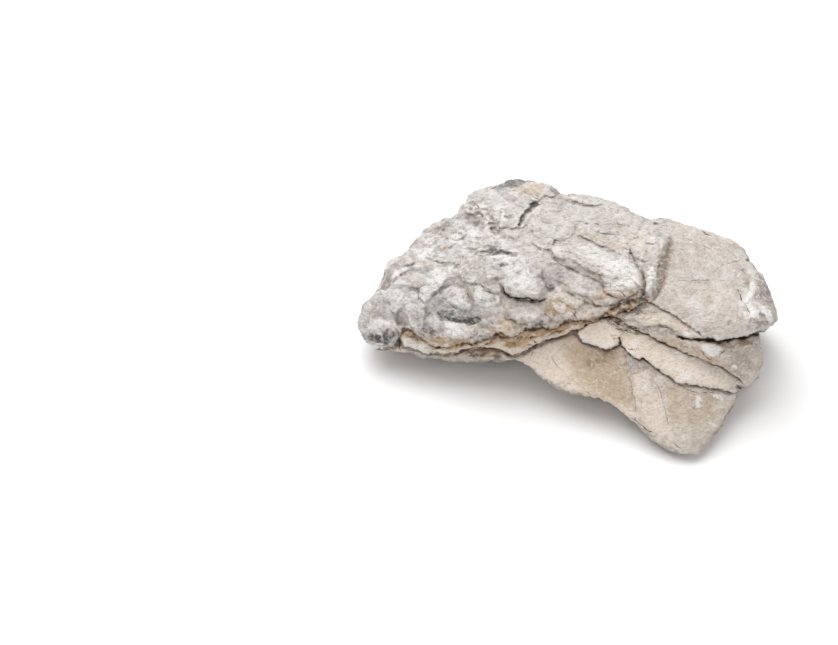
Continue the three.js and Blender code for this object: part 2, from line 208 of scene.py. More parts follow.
# Lobes of the hide, and hollows between them: right, up, half length, half width, turn in degrees,
# height
LOBES = [
    (-63.5, -17, 7, 3, 10, 1.2), (-66, 31, 14, 12, 0, 2.8), (-59.5, 20.5, 10, 6.5, -30, 2.2),
    (-61.5, 10.5, 10.5, 6.5, -10, 2.2), (-40, 28, 22.5, 14.5, -50, 4.9),
    (-42.5, 18, 8.5, 7, 0, 4.0), (-28.5, 17.5, 9, 7.5, 0, 4.4), (-47, 73, 19, 14, -10, 3.7),
    (-73, 72, 5.5, 5, 0, 1.9), (-84, 57.5, 10, 7, 20, 1.9), (-68, 56, 8.5, 6.5, 0, 1.6),
    (-101.5, 52, 7, 5.5, 40, 1.6), (-91, 47.5, 7, 3.5, 10, 1.1), (-73.5, 48.5, 10, 4, 5, 1.4),
    (-52.5, 49, 11, 5, -10, 1.4), (-44, 55.5, 7, 4, 0, 1.2), (-56.5, 59, 4, 4, 0, -1.8),
    (-92.5, 63, 6.5, 4, 40, 1.4), (-33.5, 85.5, 10.5, 7, -30, 2.8), (-17, 85.5, 7, 5, 0, 2.2),
    (-17.5, 74, 11, 5, 10, 2.0), (-16, 63, 18, 12, -12, 3.2), (-21, 49.5, 10.5, 5, -22, 1.7),
    (6.5, 79, 15.5, 4, -12, 2.2), (1.5, 70, 17.5, 6.5, -15, 2.0), (19, 63, 14, 6.5, -22, 2.2),
    (35.5, 67, 14, 5.5, -25, 1.8), (49, 56.5, 10.5, 6.5, -28, 1.8), (-28, 75, 3.5, 2, 25, -4.5),
    (-32, 71.5, 4, 2, 45, -4.5), (-36.5, 66.5, 4, 2, 55, -4), (-39, 63, 2, 1.5, 50, -3),
    (-55.5, 58, 4, 4, 0, -2.5), (16, 38.5, 29.5, 12, -28, 4.4), (33, 24.5, 15.5, 14.5, 0, 5.0),
    (-8.5, 43.5, 9, 7, -20, 2.8), (6.5, 19.5, 19, 7.5, -27, 3.8), (18, 10.5, 10, 5.5, -20, 3.2),
    (-2, 8.5, 8.5, 5, -25, 2.4), (-10.5, 4, 6.5, 5, -40, 2.2), (52.5, 26, 16, 3.5, 84, 1.1),
    (40, 49.5, 18, 6.5, -42, 2.2), (-30, 0.5, 9, 7, 0, 3.6), (-40.5, -0.5, 6.5, 5, 0, 2.3),
    (-49, -11, 8.5, 5.5, -20, 2.6), (-21, -5, 5.5, 4, 0, 2.2), (-13.5, -1.5, 5.5, 5, -50, 2.2),
    (-5.5, 0, 5.5, 5, 0, 2.2), (7, -1.5, 6.5, 3.5, 10, 2.2), (17.5, 2, 7, 3.5, 15, 2.4),
    (26, 9, 10, 4, 20, 2.8), (34.5, 5, 3.5, 3, 0, 2.9), (38.5, 2.5, 3.5, 3, 0, 2.8),
    (42, 6.5, 3.5, 3, 0, 2.9), (46, 7.5, 3.5, 2.5, -30, 2.8), (29.5, 0.5, 4, 3, 20, 2.2),
    (22.5, -0.5, 4, 2.5, 10, 2.0), (-15.5, 25, 9, 7, -45, -2.4), (-55.5, -3.5, 7, 5, -15, 1.7),
    (-59.5, -12.5, 5.5, 3.5, -10, 1.2),
]

# Flat facets of the hide: height, its growth per millimetre right and up, how pale or dark it is
# painted, pale standing for light and dark for shade, and the edge
FACETS = [
    (1.2, 0.05, -0.1, 0.4, [
        (-128, 17), (-119.5, 18), (-111.5, 17), (-108.5, 13.5), (-108.5, 8.5), (-105.5, 5.5),
        (-104.5, -0.5), (-105.5, -6.5), (-105.5, -10.5), (-109, -12.5), (-113.5, -10.5),
        (-116, -7), (-117.5, -2), (-118.5, 3), (-119, 5.5), (-124, 1.5), (-126.5, -1.5), (-129, 2),
        (-130, 8.5), (-129.5, 14)
    ]),
    (1.2, 0, -0.12, 0.45, [
        (-124, 24.5), (-115.5, 26), (-105, 27.5), (-94.5, 31), (-86, 32), (-82, 29.5), (-84.5, 25),
        (-91.5, 22.5), (-98.5, 19.5), (-105.5, 17), (-112.5, 17.5), (-119.5, 19.5), (-126.5, 19.5)
    ]),
    (-0.8, 0.45, 0.1, -0.8, [
        (-139.5, 14.5), (-135, 24.5), (-131, 32), (-124.5, 38.5), (-117.5, 40), (-112.5, 35.5),
        (-115, 33.5), (-121, 31.5), (-125.5, 29.5), (-128, 24.5), (-129, 17.5), (-133.5, 14.5)
    ]),
    (2.1, 0, -0.15, 0.9, [
        (-125.5, 29.5), (-121, 31.5), (-114, 33.5), (-110, 33.5), (-111.5, 31), (-117, 29.5),
        (-121, 28), (-124, 25), (-127.5, 21.5), (-128, 24)
    ]),
    (0.5, 0, 0.2, -0.8, [
        (-112, 29.5), (-109, 32), (-103, 33.5), (-98.5, 32), (-100, 29.5), (-105, 28), (-110, 28)
    ]),
    (1.8, 0, -0.06, -0.7, [
        (-101, 38), (-96, 40.5), (-91.5, 42), (-86, 42.5), (-80.5, 41.5), (-79, 38), (-82.5, 33.5),
        (-87.5, 34.5), (-94, 35.5), (-99.5, 36.5)
    ]),
    (2.6, 0.1, -0.12, 0.8, [
        (-108.5, 17), (-101.5, 19.5), (-94.5, 24.5), (-89.5, 24.5), (-91, 20.5), (-94.5, 17),
        (-98.5, 13.5), (-101.5, 9), (-105, 7), (-108, 9), (-109, 13.5)
    ]),
    (-1.0, 0.35, 0.1, -1.0, [
        (-124, 0), (-121, 3), (-118.5, 5.5), (-118.5, 0.5), (-117, -4), (-115.5, -9),
        (-119.5, -10.5), (-124.5, -10), (-125.5, -4)
    ]),
    (0.5, 0, 0.25, 0.1, [
        (-125.5, -10), (-116, -9), (-111.5, -12.5), (-106.5, -17.5), (-104.5, -21), (-110, -21),
        (-115.5, -19.5), (-121, -21), (-122.5, -16)
    ]),
    (0.6, 0, 0.28, -0.6, [
        (-104.5, 7), (-100, 10), (-95, 14), (-92.5, 10.5), (-89.5, 6.5), (-86, 3.5), (-82, 2),
        (-86, 0.5), (-91, 2), (-97.5, 0.5), (-103, -1.5), (-105, 0)
    ]),
    (-0.3, 0.05, 0.4, -0.5, [
        (-98.5, 0.5), (-91, 2), (-84, 3), (-78.5, 3), (-73, 0.5), (-68.5, -1.5), (-64.5, -3.5),
        (-66, -7), (-70.5, -8.5), (-79, -7.5), (-89, -5.5), (-94.5, -5.5)
    ]),
    (1.8, -0.05, -0.12, 0.5, [
        (-91.5, -7.5), (-86, -7), (-79, -8.5), (-70, -11), (-69.5, -15.5), (-75, -18), (-86, -18),
        (-91, -14)
    ]),
    (1.4, 0, 0.15, -0.9, [
        (-73.5, -18), (-66.5, -15.5), (-61, -14), (-56.5, -17), (-59.5, -19.5), (-66.5, -20.5),
        (-72, -20.5)
    ]),
    (0.6, 0.1, 0.3, -0.8, [
        (-66.5, -5.5), (-61, -7), (-56, -10.5), (-58, -14), (-63.5, -11), (-67, -9)
    ]),
    (1.6, 0.05, -0.12, 0.3, [
        (-92.5, 14), (-86, 19.5), (-82, 17), (-76.5, 15.5), (-75.5, 8.5), (-73, 3), (-79, 3.5),
        (-86, 5.5), (-90.5, 9)
    ]),
    (2.2, -0.05, -0.14, 0.9, [
        (-70.5, 17.5), (-66.5, 19.5), (-61.5, 15.5), (-56.5, 12.5), (-52.5, 12), (-52.5, 6.5),
        (-58, 5), (-63.5, 3.5), (-69.5, 6.5)
    ]),
    (2.1, 0, -0.1, 0.2, [
        (-79, 35), (-75, 38), (-70, 40), (-63.5, 40), (-59.5, 35), (-61, 29.5), (-66.5, 24.5),
        (-72, 20.5), (-79, 21.5), (-81, 28)
    ]),
    (1.3, 0, 0.05, 0.1, [
        (-68.5, 4), (-62.5, 3.5), (-52.5, 5.5), (-48.5, 1.5), (-52.5, -3.5), (-61, -3.5),
        (-66.5, -1.5)
    ]),
    (0.8, 0.1, -0.08, -0.1, [
        (-142, 12.5), (-136.5, 15.5), (-129.5, 14.5), (-129.5, 7), (-128, 0), (-125.5, -5.5),
        (-124, -10), (-131, -11), (-140.5, -10), (-147.5, -4), (-147.5, 5)
    ]),
    (-1.9, 0.2, 0.5, -1.0, [
        (-150, -16), (-146.5, -14), (-140.5, -14), (-136, -17), (-131.5, -23), (-137, -21.5),
        (-143.5, -19), (-149, -19)
    ]),
    (-2.1, 0.2, 0.5, -1.0, [
        (-134.5, -13.5), (-129.5, -11), (-125.5, -14), (-122, -23), (-122.5, -28), (-131, -26.5),
        (-133.5, -21)
    ]),
    (1.6, 0, -0.1, 0.9, [
        (-146.5, -20.5), (-142, -20.5), (-137, -23), (-136, -26), (-140.5, -26.5), (-145, -24)
    ]),
    (1.0, 0.02, -0.12, 0.2, [
        (-45, 87.5), (-37, 89.5), (-27.5, 92.5), (-22.5, 90.5), (-18, 87), (-19.5, 84), (-24, 79),
        (-28.5, 80.5), (-33.5, 82.5), (-38, 85.5), (-42.5, 87)
    ]),
    (-0.6, 0, 0.35, -0.7, [
        (-60, 62.5), (-53, 63), (-52.5, 58), (-54.5, 54), (-57.5, 56), (-59.5, 59)
    ]),
    (-0.5, 0.1, 0.35, -0.8, [
        (-65, 44), (-59.5, 44), (-52.5, 43.5), (-44, 42.5), (-39, 42), (-40, 40), (-44, 39),
        (-49, 40), (-54.5, 41.5), (-59.5, 42), (-64.5, 42.5)
    ]),
    (-0.4, 0.1, 0.25, -0.5, [
        (-23, 31.5), (-19, 35.5), (-15.5, 36.5), (-9, 34.5), (-5.5, 31), (-3, 25), (-7.5, 21.5),
        (-12, 19.5), (-14.5, 14.5), (-19.5, 14.5), (-21, 20.5), (-24, 24.5)
    ]),
]

# Sloping split edges: height, width of the slope, how far it reaches, and the foot of the slope
BEVELS = [
    (5.0, 6.5, 11, [
        (52.5, 6.5), (56, 9), (59.5, 15.5), (62.5, 24.5), (64.5, 35), (66.5, 43.5), (69.5, 51)
    ]),
]

# Regions of rougher rock, as outlines
ROUGH = {
    "broken hide": [
        (-164.5, -47.5), (-161, 57.5), (-101.5, 78.5), (-73.5, 92.5), (-10.5, 92.5), (-52.5, 61),
        (-38.5, 43.5), (-52.5, 15.5), (-38.5, -12.5), (-52.5, -33.5)
    ],
    "slab end": [
        (115, 31), (121, 35), (127.5, 28), (132.5, 21), (147, 8.5), (147, -16), (126.5, -16),
        (121, -9), (117, 0), (115.5, 11), (113.5, 19.5)
    ],
    "pocket": [
        (14.5, -3.5), (21.5, 2), (31.5, 7.5), (41.5, 10.5), (48.5, 9), (52.5, 5.5), (45.5, 0),
        (33, -0.5), (21.5, -4)
    ],
    "crumbly": [
        (-124, 28), (-112, 47), (-94.5, 66), (-73.5, 84), (-59.5, 81), (-52.5, 63), (-37, 46),
        (-66.5, 40.5), (-94.5, 35)
    ],
    "under body": [
        (-126, -19.5), (-101.5, -25), (-73.5, -26), (-49, -26.5), (-42, -28), (-48.5, -39),
        (-122.5, -42)
    ],
}

# Open cracks and the shadowed joints under the covers, painted dark partly as shade: name, width,
# depth, darkness, line
CRACKS = [
    ("open slab crack", 1.9, 4.5, 1.0, [
        (70.5, -16.5), (76.5, -18), (82, -19), (87.5, -19.5), (91.5, -19), (96, -19.5),
        (100, -20.5), (104.5, -19.5), (110, -19), (115.5, -18), (121, -17.5), (125.5, -15.5),
        (129.5, -14)
    ]),
    ("slab line B", 0.55, 1.3, 0.85, [
        (30, -5.5), (37, -9.5), (41.5, -12), (45.5, -13.5), (51, -15.5), (56, -18), (61, -20.5),
        (66.5, -23), (71.5, -25), (77, -28.5), (82, -29.5), (86, -31), (91, -34), (96, -36),
        (101.5, -37.5), (105.5, -39.5), (110, -42.5), (114, -46), (119, -49.5)
    ]),
    ("slab ledge A", 0.6, 1.4, 0.9, [
        (31.5, -18), (33, -24), (35.5, -26.5), (38.5, -29), (42, -31.5), (46, -33), (47, -31.5),
        (49.5, -33.5), (52.5, -36), (56.5, -39), (61, -42), (66.5, -45.5), (70.5, -48.5),
        (75.5, -50), (80.5, -51), (86, -51.5), (91.5, -52), (96.5, -53), (101.5, -54),
        (106.5, -55), (110.5, -56.5)
    ]),
    ("slab line B dark", 0.9, 1.9, 0.85, [
        (55.5, -18), (59.5, -20), (65, -22.5), (70.5, -24.5), (75.5, -27.5)
    ]),
    ("slab line B dark 2", 0.85, 1.8, 0.85, [
        (89.5, -33), (94, -35), (98, -37), (102, -38)
    ]),
    ("ledge A dark", 0.85, 1.8, 0.8, [
        (32, -22.5), (34.5, -25), (38.5, -28.5), (42.5, -31.5), (46, -33), (47.5, -32),
        (52, -35.5), (56.5, -39), (61.5, -42.5)
    ]),
    ("seam crack", 0.55, 1.8, 1.0, [
        (-49, -28), (-43.5, -31), (-36.5, -28), (-29.5, -23.5), (-22.5, -20.5), (-17, -18.5),
        (-10, -16.5), (-3, -13.5), (3.5, -11), (10.5, -8), (15.5, -6), (20.5, -4), (26.5, -3),
        (31.5, 0), (38.5, 0.5), (43.5, 4), (49, 7.5)
    ]),
    ("diagonal crack", 0.35, 0.8, 0.85, [
        (47.5, 10), (51, 7.5), (54, 6), (61, 2.5), (68, -1), (75, -5), (80.5, -9), (85.5, -13.5),
        (89.5, -17)
    ]),
    ("oval edge", 0.5, 1.2, 0.75, [
        (2.5, -14), (4, -17.5), (5.5, -20.5), (9, -21.5), (12, -23), (16, -24), (18, -25),
        (21.5, -26.5), (25, -26), (28, -24.5), (31.5, -23.5), (31.5, -19.5), (31, -16)
    ]),
    ("left ledge crack", 0.7, 1.8, 0.95, [
        (-88, -28.5), (-82, -27.5), (-75, -25.5), (-69.5, -24), (-63.5, -25), (-58, -25.5),
        (-52.5, -25), (-47.5, -28)
    ]),
    ("lip shadow left", 0.4, 0.8, 0.7, [
        (-119.5, -12.5), (-114, -13.5), (-108.5, -17), (-103.5, -21.5), (-97.5, -24.5),
        (-89.5, -26), (-86, -23.5), (-79, -21.5), (-72, -21.5), (-65, -20), (-59.5, -19),
        (-54.5, -15.5), (-51, -14.5), (-47, -17), (-42.5, -18.5), (-38.5, -15.5), (-33.5, -12)
    ]),
    ("lip shadow right", 0.45, 0.8, 0.75, [
        (-33.5, -12), (-28, -11), (-24, -10.5), (-20.5, -12), (-16, -12), (-10.5, -9.5),
        (-6.5, -7), (0, -6.5), (5, -5), (10.5, -6.5), (16, -5), (21, -1.5)
    ]),
    ("under bright lump", 0.9, 2.2, 0.9, [
        (-51, 19), (-49, 14.5), (-45.5, 11.5), (-41.5, 9.5), (-36.5, 10), (-33, 10.5),
        (-29.5, 8.5), (-24.5, 8), (-19.5, 10)
    ]),
    ("mid fold", 0.4, 0.8, 0.7, [
        (-15.5, 39), (-12, 34.5), (-6.5, 32), (0, 29), (7, 26), (12.5, 24), (17.5, 21), (23, 16)
    ]),
    ("upper fold", 0.35, 0.6, 0.7, [
        (0, 55), (5, 53), (12, 49.5), (17.5, 46.5), (24.5, 44), (30, 41.5), (38, 38)
    ]),
    ("big lobe edge", 0.45, 1.2, 0.85, [
        (38, 46), (39, 42), (40.5, 38), (43.5, 33), (46, 29.5), (48.5, 24.5), (49, 19), (48.5, 14),
        (46, 10)
    ]),
    ("pocket line", 0.6, 1.6, 0.95, [
        (17.5, -3.5), (22.5, -3), (28, -2), (33, 0.5), (38.5, 0.5), (42.5, 2)
    ]),
    ("pocket top", 0.5, 1.4, 0.9, [
        (31.5, 7.5), (37, 9.5), (42.5, 10), (47.5, 10), (54, 11)
    ]),
    ("under lobe Y", 0.5, 1.2, 0.75, [
        (-47, -4), (-42.5, -6.5), (-39, -8.5), (-36.5, -7.5)
    ]),
    ("left step", 0.6, 1.4, 0.85, [
        (-124, -11), (-123, -18), (-122, -25), (-120.5, -28)
    ]),
    ("top facet line", 0.4, 0.8, 0.6, [
        (-5.5, 80), (0, 78), (5.5, 76), (10.5, 75)
    ]),
    ("step mouth", 0.8, 2.0, 0.9, [
        (113.5, -51), (117, -54), (120.5, -52.5)
    ]),
]

# Hairline cracks: width, darkness, line
HAIRS = [
    (0.52, 0.75, [(-98.5, 35.5), (-91, 35), (-82.5, 33)]),
    (0.52, 0.75, [(-109, 13.5), (-108.5, 10), (-105.5, 7)]),
    (0.57, 0.75, [(-129.5, 8.5), (-129, 2), (-125.5, -3.5)]),
    (0.65, 1, [(-116, -9), (-112.5, -12), (-108.5, -14.5), (-105, -17.5)]),
    (0.52, 0.88, [(-92.5, 11), (-89, 7), (-85.5, 4), (-82, 3)]),
    (0.52, 1.0, [(-69.5, 25), (-68.5, 21.5), (-64.5, 18), (-59.5, 14.5), (-52.5, 12.5), (-49.5, 14.5)]),
    (0.47, 0.62, [(-78.5, 35), (-75, 38.5), (-68.5, 40.5), (-63.5, 39)]),
    (0.57, 1.0, [(-104.5, -21.5), (-98.5, -24), (-90.5, -24.5), (-86, -23)]),
    (0.57, 1.0, [(-75, -19.5), (-72, -21.5), (-69.5, -25)]),
    (0.52, 0.88, [(-60, 86), (-56.5, 87.5), (-53, 89)]),
    (0.52, 0.75, [(-36.5, 85.5), (-33, 82.5), (-28.5, 80.5), (-24, 79)]),
    (0.47, 0.62, [(-27.5, 42.5), (-24, 40.5), (-21, 38.5)]),
    (0.47, 0.5, [(-32, 38.5), (-27.5, 35), (-24.5, 32)]),
    (0.52, 0.88, [(40.5, 5.5), (43.5, 2), (47.5, 0), (52.5, -0.5)]),
    (0.47, 0.75, [(45.5, 6.5), (49.5, 2), (54, 0), (61, -0.5)]),
    (0.47, 0.75, [(36.5, -3), (42.5, -5), (49.5, -4), (56, -3)]),
    (0.62, 1.0, [(21, -5), (28, -6.5), (36.5, -5.5)]),
    (0.52, 1.0, [(25, -5), (30, -8.5), (36.5, -11), (45.5, -13.5), (54, -17)]),
    (0.52, 0.88, [(33, -5), (37, -8.5), (42.5, -10.5), (47.5, -13.5)]),
    (0.52, 0.88, [(47.5, 11.5), (54.5, 12)]),
    (0.52, 0.75, [(49, -9), (52.5, -11.5), (57.5, -10), (65, -10.5), (69.5, -12.5)]),
    (0.52, 0.75, [(-31.5, 48.5), (-25, 45), (-20.5, 42.5)]),
    (0.57, 0.88, [(-73, 80), (-68.5, 75.5), (-65, 70.5), (-64.5, 65), (-62.5, 61.5)]),
    (0.52, 0.75, [(84.5, -22.5), (89.5, -28), (92.5, -31.5)]),
    (0.42, 0.62, [(75.5, 52.5), (80.5, 50.5), (85.5, 48.5), (91, 46), (98, 43.5)]),
    (0.42, 0.62, [(108.5, 41.5), (115.5, 38.5), (121, 37)]),
    (0.42, 0.62, [(101.5, 33), (108.5, 34.5), (116, 36.5)]),
    (0.42, 0.69, [(65, 21), (73.5, 22.5), (87.5, 22.5), (96, 22), (103, 22.5), (108, 23)]),
    (0.62, 1, [(113.5, 17.5), (114.5, 14), (116, 10), (119, 5.5), (121, 1.5), (122.5, -2)]),
    (0.62, 0.56, [
        (33, -25), (35.5, -31), (36.5, -38), (37.5, -45), (40, -53), (41.5, -61.5), (42.5, -70),
        (42.5, -74)
    ]),
    (0.52, 0.75, [(38, -44), (42, -43.5), (46, -42), (50.5, -40), (53, -40)]),
    (0.52, 0.75, [(70.5, -49), (75, -51.5), (79, -54), (83.5, -55.5), (88, -56.5), (94, -55.5)]),
    (0.57, 1.0, [
        (21.5, -7), (25, -9), (28.5, -10), (31.5, -12), (35.5, -12.5), (39, -14.5), (43.5, -15.5),
        (47, -15), (52, -16.5)
    ]),
    (0.52, 0.88, [(26, -5.5), (30, -7.5), (34.5, -9), (38.5, -11), (42.5, -11.5), (47.5, -10.5)]),
    (0.47, 0.75, [(35.5, -24), (38.5, -25.5), (42, -26), (45.5, -28.5)]),
    (0.47, 0.62, [(41.5, -20.5), (43.5, -23), (45.5, -27.5)]),
    (0.62, 1.0, [(54, -18), (57.5, -18), (61, -20.5)]),
    (0.52, 0.75, [(24.5, -14), (26, -17), (28.5, -19)]),
    (0.57, 0.75, [(68.5, -89.5), (70.5, -92.5), (75.5, -96)]),
    (0.47, 0.5, [
        (-18, -30), (-15.5, -33.5), (-12, -38), (-7, -42.5), (-2, -47), (3.5, -51), (8.5, -55.5),
        (12.5, -59)
    ]),
    (0.52, 0.56, [(-28, -23), (-29.5, -28), (-31, -32), (-32, -36.5)]),
    (0.65, 1, [(39, -73), (42.5, -75.5), (47, -79), (52.5, -83), (56.5, -84.5)]),
    (0.47, 0.5, [(56.5, -84.5), (62.5, -87.5), (68, -90.5), (73.5, -94.5), (79, -98)]),
    (0.52, 0.62, [(56.5, -48.5), (59.5, -54), (61.5, -61.5), (63.5, -70), (66.5, -79), (70.5, -87.5)]),
    (0.52, 0.75, [(84.5, -23), (89, -27.5), (93, -31.5), (97.5, -34.5)]),
    (0.62, 0.75, [(101, -33), (103, -29), (106.5, -26)]),
    (0.47, 0.69, [(71.5, -49), (76.5, -52.5), (82, -55.5), (87.5, -56.5), (94.5, -56), (101.5, -55.5)]),
    (0.52, 0.75, [(49, -10), (56, -9), (63, -9), (68, -11.5), (72, -14.5)]),
    (0.47, 0.75, [(24, -12.5), (26, -17), (28.5, -19), (32, -17.5)]),
    (0.47, 0.75, [(38.5, -23), (41.5, -26), (44, -24.5)]),
    (0.52, 0.88, [(-3.5, 4), (-0.5, -1.5), (3, -6.5), (6.5, -10.5)]),
    (0.57, 0.75, [(14.5, 61.5), (17.5, 59.5), (21, 59)]),
    (0.47, 0.62, [(6.5, 38.5), (9, 35), (13.5, 32), (19.5, 32.5)]),
    (0.47, 0.62, [(-27.5, 45), (-24, 44), (-19, 42)]),
    (0.47, 0.62, [(-7, 14.5), (-2, 12), (3.5, 9.5), (9, 7), (16, 5)]),
    (0.52, 0.75, [(-71.5, 40), (-66.5, 42.5), (-59.5, 42)]),
    (0.47, 0.56, [(-70, 24), (-67, 19), (-61.5, 15.5), (-56, 13.5), (-52, 12.5)]),
    (0.47, 0.62, [(-105, 35), (-94.5, 35), (-86, 34.5), (-79, 33.5)]),
    (0.52, 0.75, [(-117, -3), (-115, -9), (-111.5, -12.5), (-107, -16), (-103.5, -18)]),
    (0.47, 0.62, [(-109, 7), (-110, 14), (-108, 18), (-101.5, 21)]),
    (0.52, 0.62, [(-76.5, 18), (-75, 12.5), (-72, 8.5), (-70, 5)]),
    (0.62, 0.88, [(-78.5, -21), (-74, -21.5), (-70, -24), (-64.5, -24), (-59.5, -21)]),
    (0.52, 0.75, [(-52.5, -26), (-48.5, -28.5), (-44, -29.5)]),
    (0.52, 0.75, [(-30, -17.5), (-27.5, -21), (-24.5, -20.5)]),
    (0.47, 0.62, [(-21, 4), (-17.5, 0.5), (-13.5, -3.5)]),
    (0.47, 0.62, [(-16, 6.5), (-13.5, 0.5), (-9, -3)]),
    (0.52, 0.88, [(29.5, 17), (33.5, 14.5), (35.5, 11), (41.5, 10.5)]),
    (0.52, 0.88, [(21, -5.5), (26, -9), (31.5, -12.5), (37, -14.5)]),
    (0.47, 0.75, [(28.5, -5), (35.5, -10), (41.5, -14), (47, -15.5)]),
    (0.47, 0.56, [(-134.5, -12.5), (-131, -16), (-126, -23)]),
    (0.47, 0.5, [(66.5, -12.5), (73.5, -17.5)]),
    (0.42, 0.44, [(87.5, 8.5), (91, 15.5), (96, 8.5)]),
]

